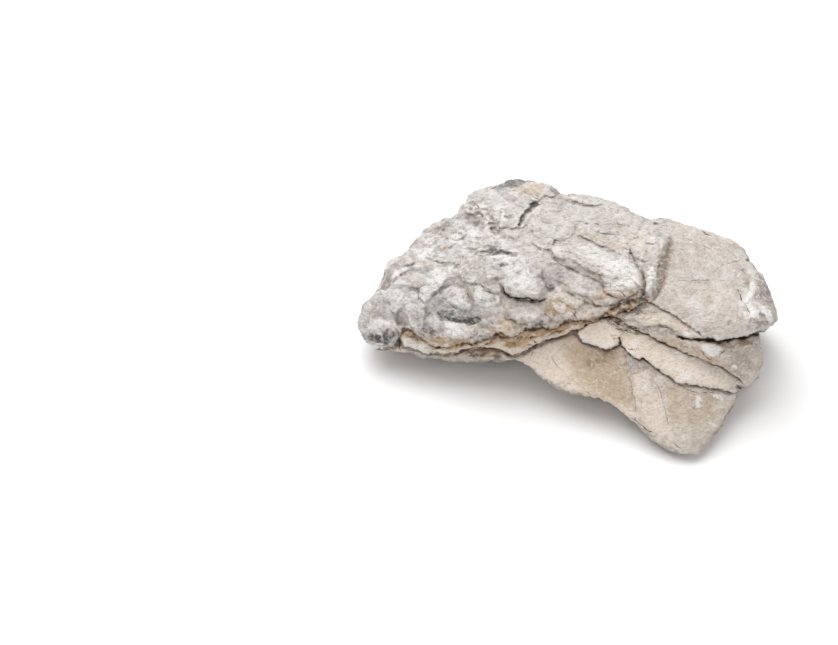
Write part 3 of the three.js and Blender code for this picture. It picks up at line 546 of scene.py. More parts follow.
# Patches of colour: right, up, half length, half width, turn in degrees, strength
PATCHES = {
    "dark": [
        # Painted shade: the first four in the cavity, (-53, 42) under a ridge, and (-132.5, -21.5),
        # (-144, -20.5), (-140, -19) and (-128, -18) in the hollows of the left tip
        (-27.5, 75.5, 4, 2, 20, 0.9), (-31.5, 72, 4.5, 2, 45, 0.85), (-36.5, 66.5, 5, 2, 55, 0.95),
        (-39, 62.5, 2, 1, 50, 0.8), (-68, 63, 3.5, 2, 20, 0.5), (-62.5, 73, 3, 1.5, -30, 0.45),
        (-73.5, 71.5, 3, 1.5, 60, 0.45), (-58, 59, 3, 2, 0, 0.5), (-132.5, -21.5, 5, 3, 20, 0.6),
        (-144, -20.5, 3, 1.5, 0, 0.8), (-113.5, -21, 3.5, 1.5, 10, 0.35),
        (-91, 59, 3.5, 1.5, 40, 0.4), (-84, 70, 3.5, 1.5, -30, 0.4), (-53, 42, 13.5, 2, -6, 0.8),
        (-49.5, 33.5, 3, 2, 20, 0.7), (-17, 17.5, 3, 3, -50, 0.75), (-94.5, -2, 3.5, 1, -45, 0.9),
        (-89.5, 0, 5.5, 1, -10, 0.6), (-101.5, -13.5, 5.5, 3, -20, 0.7),
        (-64.5, -17, 6.5, 2.5, -20, 0.7), (-140, -19, 7.5, 4, 0, 0.8),
        (-128, -18, 5.5, 7, 60, 0.7), (121, 37, 2, 1, 0, 0.9), (117.5, 29.5, 2, 1, -30, 0.7),
        (125.5, 33, 2, 1, -30, 0.7), (91.5, 56, 3, 1, -20, 0.8), (56.5, 62.5, 2, 1.5, 0, 0.7),
        (108.5, -7, 2, 2, 0, 0.5), (-26, -7.5, 5.5, 3, 0, 0.5), (28.5, 6.5, 6.5, 2, 35, 0.5),
        (-63.5, -28, 3.5, 2, 0, 0.7), (-54.5, -30, 3.5, 2, 0, 0.6), (-70.5, -31, 3, 2, 0, 0.6),
        (-14.5, 84.5, 3.5, 3, -30, 0.6), (-46, 66.5, 3.5, 3, 0, 0.45), (133, -0.5, 3.5, 3, 0, 0.5),
        (45.5, 2, 6.5, 3.5, 20, 0.5), (-14.5, 49, 3, 1, 60, 0.8), (16, 61.5, 2, 1, -20, 0.6),
        (8.5, 62.5, 1.5, 1, 0, 0.5),
    ],
    "mauve": [
        # Painted shade: (-124, 35) and (-133, 22.5) on the shaded left end, and (79, -24) on the edge
        # face of the upper plate
        (-100, 55.5, 7, 8.5, 50, 0.5), (-89.5, 63, 7, 4, 30, 0.5), (-124, 35, 8.5, 4, -50, 0.6),
        (-105, 47, 5.5, 3.5, 30, 0.4), (-133, 22.5, 5.5, 3.5, -60, 0.7),
        (-8.5, -50.5, 6.5, 3.5, 25, 0.5), (-66.5, 68.5, 12, 6.5, 0, 0.95), (-75, 60, 7, 4, 0, 0.5),
        (-84, 59, 5, 3.5, 0, 0.4), (13.5, 74, 17, 3, -12, 0.4), (24.5, 63, 10, 3, -12, 0.3),
        (-16, 85.5, 5.5, 3.5, 0, 0.8), (-10.5, 28, 6.5, 5, -30, 0.5), (79, -24, 11, 3, -28, 0.7),
        (56, -50.5, 7, 4, -35, 0.5), (116, -33.5, 14, 8.5, -30, 0.6),
        (115.5, -43.5, 8.5, 5.5, -20, 0.5), (-44, 52.5, 5.5, 3, 0, 0.5),
        (24.5, 6.5, 7.5, 2, 30, 0.5),
    ],
    "brown": [
        # Painted shade: (116, -21.5) under the right slab, (116, -53) in the step mouth, (19.5, -28.5)
        # and (34.5, -31.5) under the oval, and (62.5, -21) and (56, -44) under the plates' edges
        (-54.5, -17, 6.5, 2, 0, 0.6), (-44, -20.5, 8.5, 2, -20, 0.5), (-17, -12, 5.5, 2, 0, 0.8),
        (10.5, -6, 6.5, 1, 5, 0.7), (-65, -29.5, 12.5, 3, 0, 0.5), (-54.5, -31.5, 4, 2, 0, 0.8),
        (19.5, -28.5, 11, 3, -15, 0.7), (34.5, -31.5, 3, 6.5, 5, 0.7), (15.5, -35, 10, 5, 0, 0.6),
        (116, -21.5, 14, 2.5, 8, 0.9), (116, -53, 4, 2, 0, 1), (46, -20.5, 3, 2, 0, 0.5),
        (62.5, -21, 5.5, 2, -35, 0.5), (56, -44, 11, 2.5, -38, 0.5), (45.5, 4, 5.5, 4, 0, 0.7),
        (28, -5, 7, 2, -10, 0.6), (30, -21, 2, 3, 0, 0.6), (65, -51, 10, 2, -30, 0.4),
        (131.5, -7, 6.5, 2, 0, 0.7), (121, -10, 2, 2, 0, 0.4), (133.5, 0, 3, 3.5, 0, 0.6),
        (108.5, -7.5, 3, 2, -40, 0.5), (0.5, 78.5, 6.5, 1, -20, 0.5),
    ],
    "white": [
        # Painted light: (-122.5, 18) and (-65, 12) on dim parts of the hide's left and lower side, and
        # (-140, -10) on the crest of the left tip
        (-85.5, -12.5, 6.5, 5, 0, 0.9), (-140.5, -24, 4, 2, 0, 0.8),
        (76.5, -42.5, 6.5, 3.5, -15, 0.85), (68.5, -39, 3, 2, 0, 0.5),
        (86, -61.5, 2.5, 5, -10, 0.85), (99.5, -59, 5, 1.5, -25, 0.9), (96, -78.5, 5.5, 2, 0, 0.5),
        (112, -38, 3, 1.5, -20, 0.9), (113.5, -43.5, 3, 1, -30, 0.7), (79, -15.5, 4, 2, -45, 0.7),
        (9, -20.5, 3.5, 2, -20, 0.7), (42.5, -21.5, 4, 3.5, -20, 0.5), (49.5, -53, 2, 4, 0, 0.4),
        (44, -52, 2, 3, 0, 0.5), (42, -12.5, 4, 1.5, -20, 0.5), (32, 26, 14, 15.5, 0, 0.75),
        (16, 38, 18, 7.5, -28, 0.5), (-101.5, -29.5, 5.5, 2, -10, 0.5),
        (54.5, 24.5, 3.5, 12, 5, 0.7), (-38.5, 25, 17.5, 10, -50, 0.5),
        (-122.5, 18, 7, 5.5, 0, 0.6), (-65, 12, 8.5, 5, -15, 0.5), (-140, -10, 5, 3, 10, 0.7),
        (-143, -24.5, 2, 1, 0, 0.8), (-133.5, -25, 3, 1, 10, 0.7), (87.5, 26, 10, 5.5, 0, 0.25),
        (-137, -7, 8.5, 3, 0, 0.6),
    ],
    "ochre": [
        (-75, -13.5, 5, 4, 0, 0.9), (-93, -18, 5, 2, -10, 0.9), (-101.5, -14.5, 3.5, 2, 0, 0.6),
        (-112.5, 19, 3.5, 1, -20, 0.7), (-73.5, 11, 2, 7, 15, 0.5), (-100, -13.5, 5.5, 4, 0, 0.4),
        (-11, 9, 5, 2, 0, 0.8), (-16, 0, 4, 6.5, 30, 0.8), (10.5, -3, 7, 3, 0, 0.7),
        (35.5, 14, 6.5, 3.5, 0, 0.8), (28.5, -19.5, 3, 4, 0, 0.8), (-90.5, 45, 3.5, 2, 0, 0.6),
        (-105.5, 35, 3.5, 2, 0, 0.5), (69.5, -92.5, 2, 3, 0, 0.8), (21, 8.5, 5.5, 3, 0, 0.3),
        (-67, 75.5, 1.5, 6.5, 20, 0.5), (-9, 39, 3, 2, 0, 0.5), (11, -11, 3.5, 2, 0, 0.5),
    ],
    "tan": [
        (-47, -10, 9, 7.5, 0, 0.7), (-59.5, -28.5, 17, 5.5, 0, 0.7), (-30, 85.5, 11, 5.5, 10, 0.6),
        (45.5, -19.5, 21, 7, -25, 0.3), (7, -28, 12.5, 5.5, -20, 0.4),
    ],
    "cream": [
        (-3, 8.5, 18, 10, -20, 0.5), (40, 50.5, 17, 10, -30, 0.4), (28, 22.5, 19.5, 14, 0, 0.35),
    ],
}

# Larger fields of colour and surface: softness of the border, strength, outline
FIELDS = {
    "tan": [
        (8, 0.8, [
            (-10.5, -23), (1.5, -17), (9, -22.5), (20.5, -26), (31.5, -24), (35.5, -35),
            (39, -50.5), (42.5, -67), (26, -64.5), (10.5, -57.5), (-2, -45)
        ]),
        # The sloping step face between the hide and the right slab, painted as shade
        (1.0, 0.7, [
            (53, 6.5), (57.5, 9), (61.5, 16), (64.5, 24.5), (67, 35), (69.5, 45), (70, 50.5),
            (65, 54), (61, 44), (56.5, 34.5), (55.5, 24.5), (54, 15.5)
        ]),
        # Painted shade on the slopes down into the middle and the upper fold of the hide
        (5, 0.35, [
            (-15.5, 40.5), (-9, 42), (7, 37), (21.5, 28), (24, 17.5), (12.5, 24.5), (-6.5, 32)
        ]),
        (3, 0.45, [
            (-1.5, 56.5), (2, 59.5), (17.5, 54.5), (33, 48.5), (38, 38.5), (24.5, 44), (10.5, 49.5)
        ]),
        (2, 0.75, [
            (54, -17), (66.5, -18), (80.5, -24), (91.5, -26.5), (103, -35), (115.5, -45),
            (112, -43.5), (105, -40), (96, -35.5), (87.5, -31.5), (77, -28), (66.5, -23)
        ]),
        (3, 0.5, [
            (62.5, -51), (80.5, -56), (98, -57.5), (101, -65), (98.5, -75.5), (87.5, -78.5),
            (69.5, -78.5), (65, -68.5)
        ]),
    ],
    "cream": [
        (5, 1.0, [
            (-42, -28.5), (-21, -21.5), (1.5, -14), (6.5, -21), (2, -26.5), (3.5, -35),
            (12, -43.5), (20.5, -53), (45.5, -71.5), (41.5, -78.5), (26, -66), (10.5, -60),
            (-13.5, -52), (-31.5, -38)
        ]),
        (1.5, 0.5, [
            (40, -43.5), (46, -42), (53, -40), (56.5, -49), (60, -56), (62.5, -64.5), (65, -75.5),
            (72, -89.5), (59.5, -87), (49, -80), (42.5, -73), (42, -64.5), (40, -54.5)
        ]),
        (2, 1.0, [
            (2, -13.5), (10.5, -7), (24.5, -7), (32, -15.5), (32, -21), (20.5, -26), (6.5, -20.5)
        ]),
        (4, 0.9, [
            (32, -15.5), (45.5, -18), (63, -28), (87.5, -38), (108.5, -50.5), (105, -54.5),
            (87.5, -52), (66.5, -45.5), (45.5, -32), (34.5, -27.5)
        ]),
        (4, 0.6, [
            (45.5, -1.5), (59.5, 0.5), (80.5, -11), (87.5, -18), (66.5, -10), (52.5, -10)
        ]),
        (1, 0.8, [
            (-52.5, -4), (-48.5, -4), (-44, -6.5), (-38.5, -10.5), (-38, -13.5), (-42, -17),
            (-46, -14.5), (-50.5, -12.5), (-54.5, -11)
        ]),
    ],
    "ochre": [
        (3, 0.8, [
            (-105, -18), (-73.5, -18), (-52.5, -12.5), (-38.5, -16), (-10.5, -10.5), (17.5, -5),
            (45.5, 8.5), (54, 6.5), (31.5, -1.5), (3.5, -12.5), (-21, -21.5), (-42, -30),
            (-52.5, -26.5), (-87.5, -28)
        ]),
    ],
    "mauve": [
        # The sloping step face between the hide and the right slab, painted as shade
        (1.0, 0.75, [
            (53, 6.5), (57.5, 9), (61.5, 16), (64.5, 24.5), (67, 35), (69.5, 45), (70, 50.5),
            (65, 54), (61, 44), (56.5, 34.5), (55.5, 24.5), (54, 15.5)
        ]),
        (1, 0.8, [
            (-96.5, 0), (-91, 1.5), (-84, 3.5), (-78.5, 2), (-72, 0), (-67, -3), (-73.5, -5),
            (-79, -5), (-86, -3), (-91.5, -3.5)
        ]),
        (1, 0.8, [
            (-73, -19), (-66.5, -15.5), (-61, -14), (-56.5, -15.5), (-57.5, -18), (-62.5, -20),
            (-69.5, -20.5)
        ]),
        # Painted shade on the underside of a pale facet
        (1, 0.7, [
            (-31.5, -8.5), (-26, -5), (-20.5, -3.5), (-22.5, -7), (-27.5, -10.5), (-32, -11)
        ]),
        (2, 0.4, [
            (-124, -13.5), (-115.5, -15.5), (-105, -21), (-97.5, -25), (-101.5, -28.5), (-117, -26)
        ]),
        (2, 0.55, [
            (26, -65), (40.5, -76.5), (56.5, -87), (70, -94.5), (85.5, -99.5), (80.5, -103),
            (68, -101.5), (52.5, -92.5), (38.5, -80)
        ]),
        # Painted shade on a face of the broken slab end turned from the light
        (1.2, 0.85, [
            (126.5, 28), (131, 27.5), (133.5, 21.5), (136, 15.5), (138, 8.5), (140, 1.5),
            (137, 3.5), (131.5, 5.5), (126, 8.5), (124.5, 12), (127.5, 17), (127.5, 22.5)
        ]),
        (1, 0.8, [
            (119.5, 24.5), (122.5, 23), (122.5, 14), (120.5, 13.5)
        ]),
        (2, 0.6, [
            (120.5, -4), (129.5, -5.5), (137, -6.5), (135, -11), (128, -14), (120.5, -11)
        ]),
        # Painted shade on the sloping face under the flake's edge
        (1.5, 0.7, [
            (40.5, -10.5), (49, -9), (52.5, -11.5), (59.5, -10), (65, -10), (69.5, -12),
            (72, -15.5), (68, -16.5), (56, -15.5), (45.5, -13.5)
        ]),
        (2, 0.7, [
            (21, -4), (28.5, -3), (38.5, 0), (36.5, -5.5), (28.5, -7.5)
        ]),
        (3, 0.6, [
            (87.5, -21.5), (129.5, -17), (129.5, -26.5), (112, -26), (96, -24)
        ]),
        (1.5, 0.6, [
            (35, -28), (41.5, -31), (46, -33.5), (51, -36.5), (54.5, -39), (51, -40), (45.5, -42),
            (40, -44), (37, -41.5), (36.5, -33.5)
        ]),
    ],
    "brown": [
        # Painted shadow of the right slab on the plate below it
        (2, 0.8, [
            (87.5, -20.5), (101.5, -20.5), (115.5, -19), (127.5, -16), (128, -21), (119, -24),
            (105, -24), (91, -22.5)
        ]),
        # Painted shade under the oval's edge
        (3, 0.38, [
            (5.5, -21.5), (15.5, -25), (22.5, -27.5), (32, -24.5), (37, -29.5), (38.5, -38),
            (35.5, -45), (30, -42), (20.5, -36.5), (10.5, -36.5), (5, -31)
        ]),
        (1.5, 0.8, [
            (15.5, -0.5), (21.5, 2), (31.5, 6.5), (37, 8.5), (42.5, 9.5), (48.5, 9), (52.5, 6.5),
            (47.5, 2), (42.5, -0.5), (37, -2), (28.5, -4), (20.5, -5)
        ]),
    ],
    "dark": [
        # Painted shade in the mouth of the step
        (0.8, 0.9, [
            (113.5, -51), (116, -52.5), (120.5, -53), (117.5, -55.5), (114, -55.5)
        ]),
        (0.8, 1.0, [
            (-91.5, -3), (-87.5, -2), (-83.5, -4), (-78.5, -5.5), (-74, -3.5), (-66.5, -3),
            (-65, -5.5), (-68, -7.5), (-73, -9), (-78.5, -7.5), (-84, -6.5), (-89.5, -5.5)
        ]),
        (1.5, 0.55, [
            (-54.5, 87), (-53, 89), (-48.5, 93), (-40.5, 97.5), (-33.5, 97.5), (-26.5, 93.5),
            (-35, 90.5), (-40.5, 88), (-47, 87)
        ]),
    ],
    "white": [
        (1.2, 0.95, [
            (122.5, 21.5), (126, 21.5), (126.5, 17), (125.5, 12.5), (123, 9), (124.5, 5.5),
            (128, 1.5), (127.5, -3), (123, -3), (121, 1.5), (119.5, 7), (120.5, 12.5),
            (122.5, 15.5)
        ]),
        (1, 0.9, [
            (127.5, 7), (131.5, 5), (136.5, 2), (139.5, -3), (139.5, -6.5), (136.5, -6.5),
            (133.5, -1.5), (129.5, 2)
        ]),
        (1.2, 0.8, [
            (80.5, -9), (86, -12.5), (91.5, -18), (86, -18), (82, -14)
        ]),
        (1.2, 0.75, [
            (86, -21.5), (96, -22), (103, -25), (101, -31.5), (95, -31), (90.5, -27.5)
        ]),
        (2.5, 0.45, [
            (-122, -16), (-115.5, -18), (-105, -22.5), (-97.5, -26), (-90.5, -28.5),
            (-94.5, -33.5), (-108.5, -31.5), (-119, -26.5)
        ]),
        (1.5, 0.4, [
            (-42.5, 5.5), (-35, 8.5), (-26.5, 5), (-20.5, -2), (-24.5, -5), (-29.5, -7),
            (-35, -6.5), (-42, -3), (-45, 1.5)
        ]),
        (1, 0.55, [
            (-91, -9), (-86, -7.5), (-79, -9), (-70, -12), (-73.5, -17.5), (-82, -18), (-88, -15.5)
        ]),
    ],
    "warm lip": [
        (5, 1, [
            (-54.5, 8.5), (-24.5, 11), (0, 8.5), (24.5, 19), (49, 29.5), (52.5, 8.5), (45.5, -3),
            (17.5, -9), (-17.5, -16), (-52.5, -19.5), (-73.5, -12.5)
        ]),
    ],
    "merged": [
        (9, 1, [
            (56, 75), (51, 63), (63, 53), (77, 52), (87.5, 61), (87.5, 75)
        ]),
        (3, 1, [
            (7.5, -5.5), (17.5, -3.5), (27.5, -3.5), (35.5, -10), (33, -14.5), (26, -12), (16, -9),
            (9, -11)
        ]),
    ],
}

# Flat breaks on the hidden sides: a point on each and its outward direction, from the picture's
# middle with z up from the floor
BREAKS = [
    ((-98, 81, 62), (-0.52, 0.84, 0.16)),
    ((-35, 108, 60), (0.05, 0.97, 0.22)),
    ((40, 84, 45), (0.34, 0.92, 0.18)),
    ((118, 52, 40), (0.62, 0.77, -0.12)),
    ((-152, 12, 13), (-0.4, 0.1, -0.9)),
    ((0, 62, 6), (0.1, 0.62, -0.78)),
    ((60, -76, 0), (-0.1, -0.22, -0.97)),
]

# Hidden sides: how wide the corner between two breaks is rounded, how fast the sides draw in behind
# the outline, and how wide the rim of the front is rounded
BREAK_BLEND = 9
SIDE_TAPER = 0.12
RIM_BLEND = 4
# How far behind the front the lumps of the sides start and are full
LUMPS_START = 2
LUMPS_FULL = 20
# Layers of the rock: how they lie, how thick they are, how far they bend, how far each stands out,
# and the share of its thickness over which it ends
LAYER_ANGLE = math.radians(16)
LAYER = 24
LAYER_BEND = 9
LAYER_RELIEF = 3.5
LAYER_EDGE = 0.4
# Lumps of the hidden sides: turns per millimetre, height, and how much finer the small ones and the
# creases are than the large ones
LUMP_TURNS = 0.07
LUMP_RELIEF = 5
SMALL_LUMPS = 2.3
CREASES = 5
# How far behind the front its colours start to end and have ended, how much that varies, and how
# much finer than the large lumps the lumps are in which it does
FADE_START = 4
FADE_END = 11
FADE_VARIES = 0.8
FADE_LUMPS = 4

# Ragged edges: size of their swells and chips, how far these carry an edge, and the share of that
# which the outline, the bevels, the facets and, at most, a region take, and how far beyond its soft
# border a region is worked out
SWELL_SIZE = 9
SWELL = 1.3
CHIP_SIZE = 2.4
CHIP = 0.75
OUTLINE_RAGGED = 1.1
BEVEL_RAGGED = 0.6
FACET_RAGGED = 0.7
REGION_RAGGED = 1.5
REGION_MARGIN = 4
# Covers: over what the rounding of a rim ends, how deep inside it still counts, and how far merged
# covers are blurred, and how often
RIM_SPREAD = 1.6
RIM_LEAST = 0.4
RIM_REACH = 14
MERGED_BLUR = 5
MERGED_TIMES = 2
# Folds and bevels: after how many reaches each has died away, how long its ends are, how wide the
# dip beside a fold is, how sharp the foot of that dip is, and how far the folds are blurred
FOLD_GONE = 2.4
BEVEL_GONE = 2.2
FOLD_END = 7
BEVEL_END = 5
DIP_WIDTH = 2.5
DIP_FOOT = 0.4
FOLD_BLUR = 0.4
# Lobes: how far their outlines sway and over what length, how much more they stand out at their
# lower edge than in their middle, how flat they are on top, the share of their height that is kept,
# the share of that on the seam, and how far beyond its length a lobe is worked out
SWAY = 2.6
SWAY_SIZE = 11
LOBE_LEAN = 0.9
LOBE_DOME = 1.2
LOBE_SHARE = 0.75
SEAM_LOBES = 0.8
LOBE_MARGIN = 4
# Facets: how wide the step at their edge is, below and above it, how sharp their shade ends, and
# how far around their edge is looked
FACET_BELOW = 1
FACET_ABOVE = 0.9
FACET_SHADE = 0.5
FACET_REACH = 4
# Cracks: how much their width varies and over what length, its least share, how long their ends
# are, how far around them is looked, how deep a hairline is, and the limit of the map of their sides
CRACK_VARIES = 1.3
CRACK_SIZE = 5
CRACK_LEAST = 0.25
CRACK_END = 2.5
CRACK_REACH = 5
HAIR_DEPTH = 0.35
SIDE_LIMIT = 9
# Dark paint in the cracks, partly earth and partly painted shade: its mean and least share, the
# length over which it varies, and from where to where beside a crack it ends
EARTH_AND_SHADE_MEAN = 0.7
EARTH_AND_SHADE_LEAST = 0.2
EARTH_AND_SHADE_SIZE = 6
EARTH_AND_SHADE_ENDS = (1.2, 2.6)
# Patches: length and width of the streaks in them, how far these fray a patch, and from where to
# where it ends, in its own sizes, and how far it is worked out, in lengths and in millimetres
STREAK_LENGTH = 9
STREAK_WIDTH = 1.6
STREAKS = 0.9
PATCH_ENDS = (0.45, 1.2)
PATCH_SPAN = 1.5
PATCH_MARGIN = 3
# How soft the border of the warm lip is
WARM_BORDER = 5
# Crests and hollows, painted pale as highlight and dark as shade: how far around a place its mean
# height is taken for broad and for fine ones, how much each counts, and the limit of both together
CREST_BLURS = (3.5, 1.2)
CREST_SHARES = (0.5, 0.8)
CREST_LIMIT = 2

# One chip of the surface, in cells of its net: how far off its cell's middle it lies, how far it is
# turned in radians, how much its corners are cut, its half size and how much that varies, how steep
# its edge is, how much chips differ in level and lean, how steeply they fall, and the ground
# between them
CHIP_OFF = 0.4
CHIP_TURN = 1.6
CHIP_CORNER = 0.72
CHIP_HALF = 0.62
CHIP_GROWTH = 0.12
CHIP_EDGE = 4.5
CHIP_LEVEL = 0.4
CHIP_LEAN = 0.5
CHIP_FALL = 0.3
CHIP_GROUND = -1.5

# Grain of the surface: its turn on the hide and in the seam, how far it bends and over what length,
# and the shares of that bend in the seam and, right and up, on the broken slab ends
HIDE_GRAIN = -30
SEAM_GRAIN = 22
GRAIN_BEND = 3.2
GRAIN_BEND_SIZE = 15
SEAM_BEND = 0.5
END_BEND = (1.35, 1.95)
# Chips of the surface: whose grain they follow, their length along it, their width, and a seed
CHIPS = {
    "coarse": ("hide", 15, 8.5, 11),
    "fine": ("hide", 6, 4, 12),
    "grains": ("hide", 2.6, 2, 16),
    "layers": ("seam", 9, 2.8, 13),
    "flakes": ("seam", 3.4, 2.2, 14),
    "end faces": ("ends", 4.5, 6.5, 15),
}
# Swells of the surface, in the same way
SWELLS = {
    "wide": ("hide", 15, 8, 70),
    "ripple": ("plain", 26, 15, 100),
}
# How high each kind stands in each zone
SKIN = (
    ("hide", "coarse", 1.3),
    ("hide", "fine", 0.75),
    ("hide", "grains", 0.3),
    ("hide", "wide", 0.9),
    ("crumbly", "fine", 1.1),
    ("crumbly", "grains", 0.9),
    ("seam", "layers", 2.0),
    ("seam", "flakes", 1.0),
    ("pocket", "flakes", 1.6),
    ("slab", "ripple", 0.8),
    ("slab", "grains", 0.12),
    ("ends", "end faces", 1.3),
    ("ends", "flakes", 0.7),
)
# How much the chips differ in shade in each zone
SHADES = (
    ("hide", "coarse", 0.5),
    ("hide", "fine", 0.5),
    ("seam", "layers", 0.7),
    ("seam", "flakes", 0.3),
    ("ends", "end faces", 1.0),
)
# The least share of the chips on the smooth part of the hide, the share of the seam's layers on the
# body under it, how soft the zones' borders are, and how far the whole skin is blurred
SMOOTH_SHARE = 0.22
BODY_SHARE = 0.6
BORDERS = {"broken hide": 9, "crumbly": 5, "slab end": 2.5, "under body": 2.5, "pocket": 1.5}
SKIN_BLUR = 0.35

# How far inside and outside the outline the distance to it is measured
OUTLINE_REACH = 40

# Inside point and half sizes of the ball that is shaped into the stone, how many of its sizes away
# the surface may be, and how many halvings find it
CORE = (-4, 2, -22)
BALL = (150, 100, 62)
FARTHEST = 1.9
SEARCH_STEPS = 22
# How far behind the front its relief ends, and below what height a place is put on the floor
LIFT_DEPTH = 26
FLOOR_TOLERANCE = 0.01

# Maps of the front that the mesh carries to its material
MAPS = (
    "hide", "seam", "lower", "warm", "crest", "tint",
    "split_side", "split_dark", "hair_side", "hair_dark",
    "tan", "cream", "ochre", "mauve", "brown", "dark", "white",
)
# Cells after which the noise repeats, and the difference that two equal distances may have
NOISE_CELLS = 256
SAME_PLACE = 1e-6


def linear(code):
    """A colour's sRGB hex code as linear values with alpha."""
    parts = [int(code[i : i + 2], 16) / 255 for i in (1, 3, 5)]
    return tuple(c / 12.92 if c <= 0.04045 else ((c + 0.055) / 1.055) ** 2.4 for c in parts) + (1.0,)


def smoothstep(low, high, value):
    """0 below low, 1 above high, and smooth between them."""
    t = np.clip((value - low) / (high - low), 0, 1)
    return t * t * (3 - 2 * t)


def rounded_max(a, b, blend):
    """The larger of two values, with the corner between them rounded."""
    h = np.maximum(blend - np.abs(a - b), 0) / blend
    return np.maximum(a, b) + h * h * blend / 4


def turned(x, y, angle):
    """A place along and across a direction, given by its angle in degrees."""
    cos, sin = math.cos(math.radians(angle)), math.sin(math.radians(angle))
    return x * cos + y * sin, y * cos - x * sin


def gradient_noise(x, y, seed):
    """Smooth noise between about -0.7 and 0.7 with one swell per unit."""
    draw = np.random.RandomState(seed)
    order = draw.permutation(NOISE_CELLS)
    angle = draw.uniform(0, 2 * math.pi, NOISE_CELLS)
    column = np.floor(x).astype(int)
    row = np.floor(y).astype(int)
    fx = x - column
    fy = y - row

    def corner(dx, dy):
        cell = (order[(column + dx) % NOISE_CELLS] + row + dy) % NOISE_CELLS
        turn = angle[order[cell]]
        return np.cos(turn) * (fx - dx) + np.sin(turn) * (fy - dy)

    u = fx * fx * fx * (fx * (fx * 6 - 15) + 10)
    v = fy * fy * fy * (fy * (fy * 6 - 15) + 10)
    low = corner(0, 0) * (1 - u) + corner(1, 0) * u
    high = corner(0, 1) * (1 - u) + corner(1, 1) * u
    return low * (1 - v) + high * v


def layered_noise(x, y, seed, octaves=4):
    """Gradient noise with finer noise on it, each half as high as the one before."""
    return sum(gradient_noise(x * 2**i, y * 2**i, seed + i) / 2**i for i in range(octaves))


def shingles(x, y, seed):
    """Overlapping chips: each cell of an uneven net holds a tilted plate with straight edges, and
    the highest plate shows. Also tells the shade of each plate."""
    draw = np.random.RandomState(seed)
    order = draw.permutation(NOISE_CELLS)
    number = draw.uniform(-1, 1, (7, NOISE_CELLS))
    right, up, spin, level, lean, fall, growth = number
    column = np.floor(x).astype(int)
    row = np.floor(y).astype(int)
    height = np.full(x.shape, -math.inf)
    tint = np.zeros(x.shape)
    for dx in (-1, 0, 1):
        for dy in (-1, 0, 1):
            cell = order[(order[(column + dx) % NOISE_CELLS] + row + dy) % NOISE_CELLS]
            ax = x - (column + dx + 0.5 + CHIP_OFF * right[cell])
            ay = y - (row + dy + 0.5 + CHIP_OFF * up[cell])
            turn = CHIP_TURN * spin[cell]
            along = np.abs(np.cos(turn) * ax + np.sin(turn) * ay)
            over = np.abs(np.cos(turn) * ay - np.sin(turn) * ax)
            away = np.maximum(np.maximum(along, over), CHIP_CORNER * (along + over))
            plate = CHIP_LEVEL * level[cell] + CHIP_LEAN * lean[cell] * ax
            plate -= CHIP_FALL * (1 + fall[cell]) * ay
            plate -= CHIP_EDGE * np.maximum(away - CHIP_HALF - CHIP_GROWTH * growth[cell], 0)
            higher = plate > height
            height = np.where(higher, plate, height)
            tint = np.where(higher, growth[cell], tint)
    return np.maximum(height, CHIP_GROUND), tint


def swell(x, y, z):
    """An uneven swell between -1 and 1, made of waves that bend each other."""
    a = np.sin(x + 0.6 * y + 1.9 * np.sin(0.7 * z + 0.5 * x))
    b = np.sin(0.9 * y - 0.7 * z + 1.6 * np.sin(0.8 * x + 1.1 * z + 2))
    c = np.sin(1.1 * z + 0.5 * x - 0.4 * y + 1.5 * np.sin(0.9 * y + 4))
    return (a + b + c) / 3


def lumps(x, y, z, finer=1):
    """The uneven swell at a place in the stone's frame, in lumps of the hidden sides' size."""
    turns = finer * LUMP_TURNS
    return swell(turns * x, turns * y, turns * z)


def roughness(x, y, z):
    """Lumps and broken layers of the hidden sides, at a place in the stone's frame."""
    large = lumps(x, y, z)
    small = lumps(x, y, z, SMALL_LUMPS)
    creases = np.abs(lumps(x, y, z, CREASES))
    across = z * math.cos(LAYER_ANGLE) - y * math.sin(LAYER_ANGLE)
    layer = (across + LAYER_BEND * large) / LAYER
    ledge = layer - np.floor(layer)
    step = (ledge - 0.5) * smoothstep(0, LAYER_EDGE, 1 - ledge)
    return LUMP_RELIEF * (large + 0.5 * small + 0.5 * creases) + LAYER_RELIEF * step


def thin_plate(heights):
    """A smooth sheet through heights at scattered places, as a thin plate would bend."""
    points = np.array(heights, float)
    place, out = points[:, :2], points[:, 2]
    count = len(points)

    def bend(r):
        return r * r * np.log(np.maximum(r, 1e-9))

    rows = np.zeros((count + 3, count + 3))
    rows[:count, :count] = bend(np.linalg.norm(place[:, None] - place[None], axis=2))
    rows[:count, count] = rows[count, :count] = 1
    rows[:count, count + 1 :] = place
    rows[count + 1 :, :count] = place.T
    weights = np.linalg.solve(rows, np.append(out, (0, 0, 0)))

    def sheet(x, y):
        total = weights[count] + weights[count + 1] * x + weights[count + 2] * y
        for (px, py), weight in zip(place, weights):
            total = total + weight * bend(np.hypot(x - px, y - py))
        return total

    return sheet


